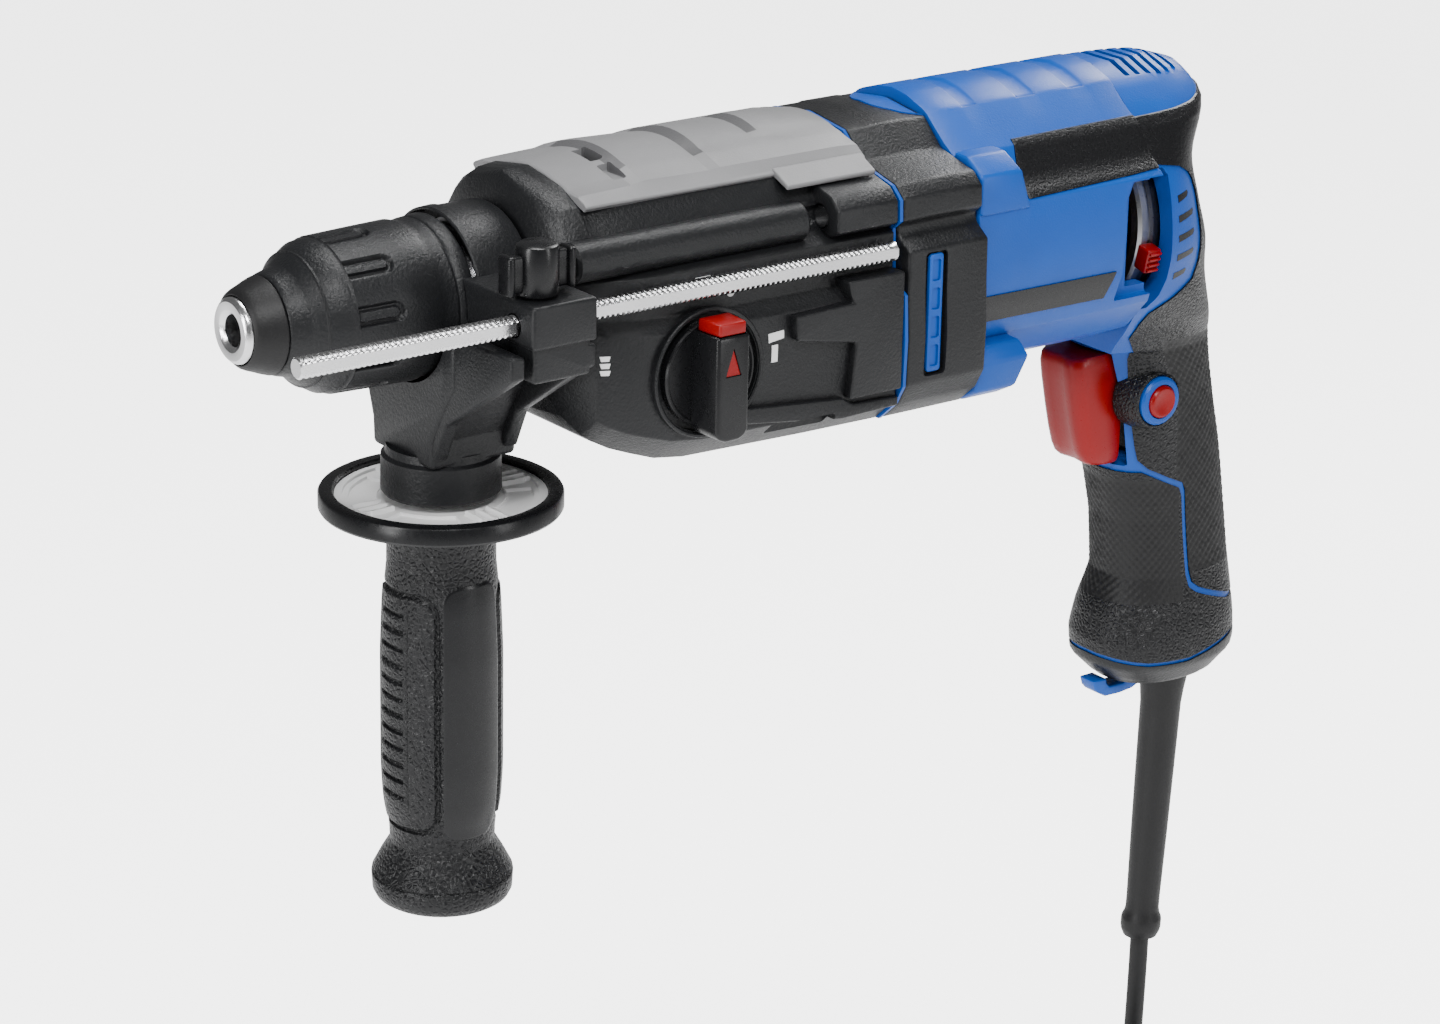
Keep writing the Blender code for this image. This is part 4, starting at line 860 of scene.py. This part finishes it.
def make_top_cover():
    def ring(x, ridge):
        flat = min(ridge - 3, 36.5)
        over = [(31.6, 28.9), (31.7, 29.6), (30.6, 30.3), (27, 31.9 + (flat - 33.5) * 0.5), (21, flat - 0.9),
            (18.3, flat), (15.5, flat + 0.6)]
        over += [(y, ridge - (ridge - flat - 0.6) * (y / 15.5) ** 2) for y in (12, 8, 4)]
        half = [(0, 31.2), (20.1, 31.2), (30.4, 27.6), *over, (0, ridge)]
        return section(x, half)

    cover = rounded(skin([ring(x, z) for x, z in COVER_BANDS]), 0.35, 2, 40)
    cover = cut(cover, *[rounded(box((126.6, low, 33.6), (131.6, high, 45)), 0.7)
        for low, high in ((-22.5, -12.5), (-9.5, 1.5))])
    lobe = [(28.5, 29.5), (30.3, 31.2), (38.9, 27), (38.4, 25.4), (30.5, 28.4)]
    cover = welded(joined(cover, *[rounded(slab(outward(side, lobe), 183, 219, "YZ"), 0.6)
        for _, side in SIDES]))
    bmesh.ops.recalc_face_normals(cover, faces=cover.faces)
    # the step faces that turn forward get the darker grey: painted shade that deepens the steps
    for face in cover.faces:
        middle = face.calc_center_median()
        shaded_ramp = face.normal.x < -0.14 and abs(middle.y) < 18.4 and middle.z > 33.5 and middle.x > 112
        face.material_index = 1 if shaded_ramp else 0
    put("cover_shell", cover, [GREY, GREY_PAINTED_SHADE], replaces=["top_cover"], sharp=8)


def make_flange():
    base = skin([section(x, half) for x, half in ((222.2, FLANGE_HALF), (231, FLANGE_HALF),
        (232.5, scaled(FLANGE_HALF, 1, 1, 1.01)), (247, scaled(FLANGE_HALF, 1, 1, 1.01)), (249, FLANGE_HALF),
        (255.8, FLANGE_HALF))])
    tree = tree_of(base)
    body = cut(rounded(base, 1.1, angle=20), solid_turn([(221, 7), (226, 7), (226, 13.3), (237, 13.3),
        (237, 38), (257, 38)], at=(0, 0, MOTOR_Z), steps=64))
    for name, side in SIDES:
        pocket = rounded_box_outline(229.2, -41, 238.4, 1, 1.6, 4)
        body = cut(body, side_slab(pocket, side, 51.4, 60),
            rod(221, 250.8, 2.5, at=(0, side * BOSS_Y, BOSS_Z), steps=24))
        bar = rounded(side_slab(rounded_box_outline(231, -40, 236.8, 0.2, 1.2, 4), side, 51.7, 53.4), 0.5, 2)
        slots = [rounded_box_outline(232.2, z, 235.7, z + 7.4, 0.8, 3) for z in (-38.2, -28.5, -18.8, -9.1)]
        bar = cut(bar, *[side_slab(slot, side, 52.6, 60) for slot in slots])
        put(f"vent_bar_{name}", bar, BLUE, replaces=[f"vent_insert_{name}"], sharp=35)
    put("flange_shell", welded(body), BLACK, replaces=["mid_flange"], sharp=28)
    tongue = [(256, -18.6), *[(242.6 + 13.2 * (y / 18.6) ** 2, y) for y in range(-18, 19, 3)], (256, 18.6)]
    put("top_tongue", panel(tongue, above(tree), 0.45, 0.8, (3, 3)), BLUE, sharp=40)


# ---- motor housing

def make_motor_housing():
    rings = []
    for x, drop in ((256.1, 0), (271.4, 0), (272.4, 1), (277.5, 1), (278.5, 0), (295, 0), (296, 1), (303, 1),
            (304, 0), (318, 0), (319, 1), (325, 1), (326, 0), (337.7, 0)):
        top = [(17.6, 37 - 0.8 * drop), (15.5, 37.9 - drop), (8, 40.4 - drop), (0, 41.4 - drop)]
        rings.append(section(x, [*MOTOR_HALF[:-1], *top]))
    base = skin(rings)
    tree = tree_of(base)
    body = rounded(base, 0.7, 2, 17)
    for _, side in SIDES:
        upper = slab(outward(side, [(33, 26.5), (40, 26.3), (48, 21), (48.7, 7.6), (38, 7.6)]), 256.15, 275,
            "YZ")
        lower = slab(outward(side, [(34, -36.5), (47.5, -37.6), (50, -43), (49, -53), (41, -57.5),
            (30, -55)]), 256.15, 279, "YZ")
        for lug, reach in ((upper, lambda z: 2.9 - 4.9 * smooth((z - 8) / 18)),
                (lower, lambda z: -6.5 * smooth((abs(z + 44) - 1) / 12))):
            for vert in lug.verts:
                if vert.co.x > 260:
                    vert.co.x += reach(vert.co.z)
        recess = [(320.6, -33), (320.6, 2.6), (323.6, 9.6), (345, 9.6), (345, -33)]
        opening = [(328.6, -30), (328.6, 1.6), (330.6, 6.6), (345, 6.6), (345, -30)]
        body = cut(joined(body, rounded(upper, 1.2), rounded(lower, 1.2)),
            rounded(side_slab(recess, side, 40.5, 60), 1), rounded(side_slab(opening, side, 20, 60), 0.6))
    body = cut(body, rod(250, 340, 38.9, at=(0, 0, MOTOR_Z), steps=96))
    put("motor_case", welded(body), BLUE, replaces=["motor_housing"], sharp=28)

    for name, side in SIDES:
        face = beside(tree, side)
        strip = [(282.4, 26.6), (277.8, 10.4), (325.7, 11.4), (337.6, 11.9), (337.6, 27), (329.5, 27)]
        put(f"grip_strip_{name}", rounded(panel(strip, face, 0.7, 1.5, (2.5, 2.5)), 0.25, 2, 45), SPARKLE)
        plate = [(258.6, -20.3), (317.6, -20.9), (314.9, -30.6), (258.6, -30)]
        put(f"side_plate_{name}", panel(plate, face, 0.45, 1, (4, 4)), BLACK_SMOOTH, sharp=40)


def make_brush_ring():
    profile = [(339.2, 31), (339.2, 34.4), (340.4, 35.3), (343, 35.3), (343.6, 34), (345, 34), (345.6, 35.3),
        (348, 35.3), (348.6, 34), (350.4, 34), (351, 35.2), (351.8, 34.6), (351.8, 31)]
    ring = revolve(profile, at=(0, 0, MOTOR_Z), steps=120)
    put("brush_holder_ring", ring, DARK_STEEL, "brush_carrier", ["brush_ring"])
    for name, angle in (("right", 14), ("left", 194)):
        tab = rounded(box((339.5, -4.4, 34.6), (345.7, 4.4, 40.4)), 0.8)
        tab = joined(tab, *[rounded(box((340.1, -3.6 + i * 2.1, 39.6), (345.1, -2.6 + i * 2.1, 41.4)), 0.3)
            for i in range(4)])
        turn = Matrix.Rotation(math.radians(angle - 90), 3, "X")
        for vert in tab.verts:
            vert.co = turn @ vert.co + Vector((0, 0, MOTOR_Z))
        put(f"direction_tab_{name}", tab, RED, "brush_carrier", sharp=35)


# ---- rear shells and main grip

SHELL_FRONT = 338
SHELL_LEVELS = [(40, SHELL_FRONT, 368, 9), (36, SHELL_FRONT, 381, 19), (28, SHELL_FRONT, 388, 28.5),
    (22, SHELL_FRONT, 387, 34.5), (9, SHELL_FRONT, 378, 41), (-5, SHELL_FRONT, 380, 44.5),
    (-22, SHELL_FRONT, 386, 45), (-38, SHELL_FRONT, 389, 40), (-50, SHELL_FRONT, 393, 33),
    (-60, SHELL_FRONT, 397, 26), (-64, 346, 398.5, 24), (-84, 352, 403, 22), (-108, 355, 409.5, 20.6),
    (-132, 360.5, 414, 20), (-154, 362.5, 417.5, 20.5), (-168, 357.5, 419.5, 23), (-178, 355.5, 420.5, 24.5),
    (-187, 356.5, 420, 24.2), (-194, 364, 413, 19.5)]
INSET = 1
OVERMOULD = 0.75                # how far the soft parts stand out of the inset shells
TRIGGER_TOP, TRIGGER_BOTTOM = -66, -107.5
LOCK_X, LOCK_Z = 364.5, -82.5


def eased_levels(step=3):
    """The shells' levels with rounder ones between them."""
    def curve(p0, p1, p2, p3, t):
        return 0.5 * (2 * p1 + (p2 - p0) * t + (2 * p0 - 5 * p1 + 4 * p2 - p3) * t * t
            + (3 * p1 - p0 - 3 * p2 + p3) * t ** 3)

    levels, count = [], len(SHELL_LEVELS)
    for i in range(count - 1):
        around = [SHELL_LEVELS[min(max(i + k, 0), count - 1)] for k in (-1, 0, 1, 2)]
        tall = around[1][0] - around[2][0]
        if around[1][1] == SHELL_FRONT and around[2][1] != SHELL_FRONT:
            levels.append(around[1])
            continue
        for k in range(max(1, round(tall / step))):
            t = k / max(1, round(tall / step))
            z = around[1][0] - tall * t
            rear, width = (curve(*[level[m] for level in around], t) for m in (2, 3))
            front = around[1][1] + (around[2][1] - around[1][1]) * t if z < -62 else SHELL_FRONT
            levels.append((z, front, rear, width))
    return [*levels, SHELL_LEVELS[-1]]


def shell_outline(level, wall, count=96):
    z, front, rear, width = level
    grip = z < -62
    points = []
    for i in range(count):
        c, s = math.cos(2 * math.pi * i / count), math.sin(2 * math.pi * i / count)
        power = 0.86 if grip else 0.9
        round_x, round_y = (math.copysign(abs(v) ** power, v) for v in (c, s))
        if grip:
            x = (front + rear) / 2 + ((rear - front) / 2 - wall) * round_x
        else:
            x = front + 0.1 + (rear - front - wall - 0.1) * max(0, round_x)
        y = (width - wall) * (round_y if grip or c > 0 else math.copysign(abs(s) ** 0.5, s))
        if not grip and c >= 0:
            turn = smooth((-26 - z) / 34)
            x += ((345 + rear) / 2 + ((rear - 345) / 2 - wall) * abs(c) ** 0.86 - x) * turn
        points.append((x, y, z))
    return points


def core_x(z):
    return between([(-194, 388), (-84, 378), (-60, 366), (-40, 356), (50, 352)], z)


def around_shell(tree):
    """The shells' surface seen from their core: (bearing in degrees from the rear, z)."""
    def surface(bearing, z):
        out = Vector((math.cos(math.radians(bearing)), math.sin(math.radians(bearing)), 0))
        core = Vector((core_x(z), 0, z))
        hit = tree.ray_cast(core + out * 90, -out)[0]
        return (hit or core + out * 20), out
    return surface


def bearings(surface, line):
    """The (x, z) points of a line down the shells' side, as (bearing, z)."""
    found = []
    for x, z in line:
        low, high = 0, 180
        for _ in range(24):
            middle = (low + high) / 2
            low, high = (middle, high) if surface(middle, z)[0].x > x else (low, middle)
        found.append((low, z))
    return found


def both_sides(line, rear):
    """A closed outline over the rear from a line down one side; rear holds the heights where it closes."""
    return [(0, rear[0]), *line, (0, rear[1]), *[(-a, z) for a, z in reversed(line)]]


INLAY = [(363.1, -106.7), (366.8, -110.2), (374.9, -114.4), (381.6, -117.6), (382.9, -121), (384.3, -132.3),
    (386.9, -152), (388.2, -156.8), (391.2, -159.2), (396.5, -161.4), (408.3, -165.6)]
UPPER_EDGE = [(378.9, 27), (370.4, 26.2), (360, 26), (350, 26), (338.3, 26), (338.3, 11.6), (342.6, 10.9),
    (352.9, 8.7), (359, 5.4), (362.1, 2.4), (364.4, -2.6), (365.4, -7.7), (366, -14), (366.2, -22),
    (365.8, -28), (363.1, -33.3), (355.7, -36.9), (350.3, -40.1), (344.9, -43.5), (343.2, -47.5),
    (343, -54.4)]
GUARD_EDGE = [(351, -62.2), (354, -66.8), (356.3, -76.9), (359.4, -90.7), (361.5, -100.9)]


def knurled(strength, region):
    """A relief of small pyramids on the grip, in a lattice turned 45 degrees that region fades out."""
    def relief(bearing, z):
        along, up = math.radians(bearing) * 24 / 3.3, z / 3.3
        one, two = (along + up) % 1, (along - up) % 1
        height = max(abs(one - 0.5), abs(two - 0.5)) * 2
        return -strength * height ** 2 * smooth(region(abs(bearing), z))
    return relief


def textured(shape, surface_region):
    """Sets the faces' finishes: knurled, grained along the top strip, or leather."""
    for face in shape.faces:
        middle = face.calc_center_median()
        bearing = abs(math.degrees(math.atan2(middle.y, middle.x - core_x(middle.z))))
        face.material_index = 1 if surface_region(bearing, middle.z) > 0.4 else 2 if middle.z > 6 else 0
    return shape


def make_shells():
    body = skin([shell_outline(level, INSET) for level in eased_levels()])
    bmesh.ops.recalc_face_normals(body, faces=body.faces)
    surface = around_shell(tree_of(body))
    window = [(337.2, -40.6), (337.2, 9.6), (344.2, 9.6), (346.4, 6.8), (347.2, -30), (345.6, -36.5),
        (342, -40.6)]
    tools = [slab(window, -60, 60, "XZ"), rounded(box((330, -12.4, -109.3), (364.3, 12.4, -65.1)), 1),
        rod(330, 352.6, 37.4, at=(0, 0, MOTOR_Z), steps=96),
        rod(185, 200, 9.6, (RELIEF_TOP[0], 0, 0), "DOWN", 40),
        box((363, -11.3, -107.3), (389.7, 11.3, -70.6))]
    tools += [rounded(box((346 + i * 4.9, -16.5, 34.6), (348.4 + i * 4.9, 16.5, 45)), 0.5) for i in range(6)]
    collar = {"at": (LOCK_X, 0, LOCK_Z), "along": "Y", "steps": 64}
    ring = solid_turn([(-24.4, 7.4), (-24.2, 8.1), (-23.4, 8.8), (-14.3, 8.8)], **collar)
    body = cut(joined(cut(body, *tools), ring), rod(-40, -5, 6.3, **collar))
    skirt = [(-22.4, 9), (-22.8, 9.5), (-22.3, 10.2), (-19.5, 11.2), (-15, 12), (-12, 12.2), (-12, 9)]
    put("lock_surround", revolve(skirt, **collar), LEATHER)
    for name, side in SIDES:
        half = body.copy() if side < 0 else body
        bmesh.ops.bisect_plane(half, geom=[*half.verts, *half.edges, *half.faces], dist=1e-5,
            plane_co=(0, side * 0.08, 0), plane_no=(0, -side, 0), clear_outer=True)
        bmesh.ops.holes_fill(half, edges=[e for e in half.edges if e.is_boundary], sides=0)
        put(f"rear_shell_{name}", welded(half), BLUE, replaces=[f"handle_shell_{name}"], sharp=32)
    make_overmould(surface)
    make_side_vents(surface)


def make_overmould(surface):
    upper = bearings(surface, UPPER_EDGE + GUARD_EDGE)
    inlay = bearings(surface, INLAY)

    def rear_side(bearing, z):
        return min((z + 154) / 4, (-58 - z) / 4, (100 - bearing) / 6, (bearing - 16) / 6)

    outline = both_sides([*upper, *inlay], (29.2, -167.4))
    rear = panel(outline, surface, OVERMOULD, 1.4, (1.5, 0.7), knurled(0.55, rear_side))
    put("rear_overmould", textured(rear, rear_side), [LEATHER, RUBBER, SPARKLE], replaces=["grip_rubber"],
        sharp=55)

    offset = [(x - 1.8, z - 1.5) for x, z in INLAY[1:-1]]
    edge = bearings(surface, [(356.5, -111.5), (361.5, -111.8), *offset, (407.5, -167.4)])
    top = [*edge, (0, -169.2)]
    foot = bearings(surface, [(411, -179.6), (402.5, -181), (385.5, -184.4), (369.1, -184.4),
        (358.5, -182.6)])
    line = [(180, -112.2), *top, (0, -178.9), *foot, (180, -182.2)]

    def front_pad(bearing, z):
        return min((z + 164) / 3, (-114 - z) / 3, (bearing - 92) / 8)

    for name, side in SIDES:
        outline = [(side * a, z) for a, z in line]
        piece = panel(outline, surface, OVERMOULD, 1.4, (1.5, 0.7), knurled(0.55, front_pad))
        put(f"front_overmould_{name}", textured(piece, front_pad), [LEATHER, RUBBER, SPARKLE], sharp=55)
        low = [(180, -183.7), *[(a, z - 1.5) for a, z in reversed(foot)], (0, -180.4), (0, -193.8),
            (180, -193.8)]
        band = panel([(side * a, z) for a, z in low], surface, OVERMOULD, 1.4, (6, 1.5))
        put(f"foot_overmould_{name}", band, BLACK, sharp=50)
    sole = skin([shell_outline(SHELL_LEVELS[-1], 0.9),
        [(x, y, -195.4) for x, y, _ in shell_outline(SHELL_LEVELS[-1], 2.2)]])
    sole = cut(sole, rod(185, 200, 9.6, (RELIEF_TOP[0], 0, 0), "DOWN", 40))
    put("grip_sole", sole, BLACK)


def make_side_vents(surface):
    """Black strips behind the reversing window, on both sides: painted shade laid on the surface where the
    louvres' slots are, not cut.
    """
    grooves = []
    for i in range(5):
        z, long = 0.6 - i * 6.9, 360.2 if 0 < i < 4 else 357
        line = [(350.4, z - 1.5), (long, z - 0.9), (long + 0.5, z - 1.8), (long - 0.4, z - 2.9),
            (350.6, z - 4)]
        grooves.append(bearings(surface, line))
    for name, side in SIDES:
        # each strip is a thin black sheet standing in for the shade inside a slot
        shapes = [panel([(side * a, z) for a, z in line], surface, 0.12, 0.8, (3, 3)) for line in grooves]
        put(f"louvre_slot_painted_shade_{name}", merged(*shapes), BLACK_SMOOTH, sharp=50)


def make_controls():
    def level(z, front, rear, width):
        half = [(rear, 0), (rear, width - 0.6), (rear - 1, width), (front + 6, width),
            (front + 3, width * 0.93), (front + 1.1, width * 0.76), (front + 0.5, width * 0.6),
            (front + 0.9, width * 0.35), (front + 1.5, 0)]
        return [(x, y, z) for x, y in half] + [(x, -y, z) for x, y in reversed(half[1:-1])]

    trigger = skin([level(*v) for v in ((TRIGGER_TOP, 335.6, 357, 10.3), (-67.2, 334.5, 357.6, 10.8),
        (-70, 334.1, 358, 11), (-76, 335, 358, 11), (-88, 337.5, 358, 11), (-96, 339.4, 358, 11),
        (-102, 341.2, 358, 11), (-105.6, 343, 357.8, 10.9), (-107, 344.6, 357.4, 10.6),
        (TRIGGER_BOTTOM, 346, 357, 10.2))])
    put("trigger_blade", trigger, RED, "trigger", ["trigger"], sharp=50)
    button = [(-25.4, 0), (-25.3, 3.2), (-25.75, 4.2), (-25.7, 5), (-25.1, 5.7), (-24.6, 5.9), (-15.2, 5.9),
        (-15.2, 0)]
    put("lock_pin", revolve(button, (LOCK_X, 0, LOCK_Z), "Y", 64), RED, "lock_button", ["lock_button"])
    hook = slab([(357.5, -194.6), (358.6, -198), (360.2, -199.7), (364, -201.8), (371, -202), (377, -201.4),
        (381.5, -199.4), (384, -196.8), (384, -194.6), (377, -194.6), (375.4, -197), (372.6, -198.3),
        (365.6, -198.2), (364.2, -196.6), (364, -194.6)], -4, 4, "XZ")
    put("hang_loop", rounded(hook, 0.7), BLUE, replaces=["hanging_hook"], sharp=35)


def make_dial():
    at = (KNOB_X, 0, KNOB_Z)
    disc = revolve([(-51, 0), (-51, 15.8), (-51.6, 16.4), (-51.6, 17), (-51, 17.4), (-48.5, 17.4),
        (-48.5, 5.9), (-40, 5.9), (-40, 0)], at, "Y", 96)

    def on_dial(outline, back, front):
        return slab([(KNOB_X + x, KNOB_Z + z) for x, z in outline], front, back, "XZ")

    def wedge(outline, back, front):
        """A block on the dial, narrower at its crest."""
        shape = on_dial(outline, back, front)
        for vert in shape.verts:
            if vert.co.y < -60:
                vert.co.x = mix(KNOB_X, vert.co.x, 0.86)
        return shape

    def oblong(half, low, high):
        return [(-half, high), (-half, low), (half, low), (half, high)]

    def arrow(half, low, high):
        return [(-half, low), (half, low), (0, high)]

    bar = rounded(wedge([(-7.3, 15.4), (-7.3, -16.3), (-5.7, -18.4), (-3, -19.4), (3, -19.4), (5.7, -18.4),
        (7.3, -16.3), (7.3, 15.4)], -50.4, -63.6), 1.1)
    bar = cut(bar, on_dial(arrow(3.1, 2, 11.4), -62.9, -70), wedge(oblong(6.3, 13.2, 30), -52, -63.1))
    put("dial_knob", joined(disc, bar), BLACK_SMOOTH, "mode_knob", ["mode_knob"])
    put("dial_pointer", on_dial(arrow(2.9, 2.2, 11), -62.5, -63.1), RED, "mode_knob")
    catch = rounded(wedge(oblong(6, 15.3, 19.4), -52.4, -62.9), 0.7)
    put("dial_catch", catch, RED, "mode_button", ["mode_button"], sharp=35)


for make in (make_stage, make_cord, make_chuck, make_bracket, make_rod_and_screw, make_guard, make_side_grip,
        make_gear_housing, make_top_cover, make_flange, make_motor_housing, make_brush_ring, make_shells,
        make_controls, make_dial, paint_carried_nodes):
    make()
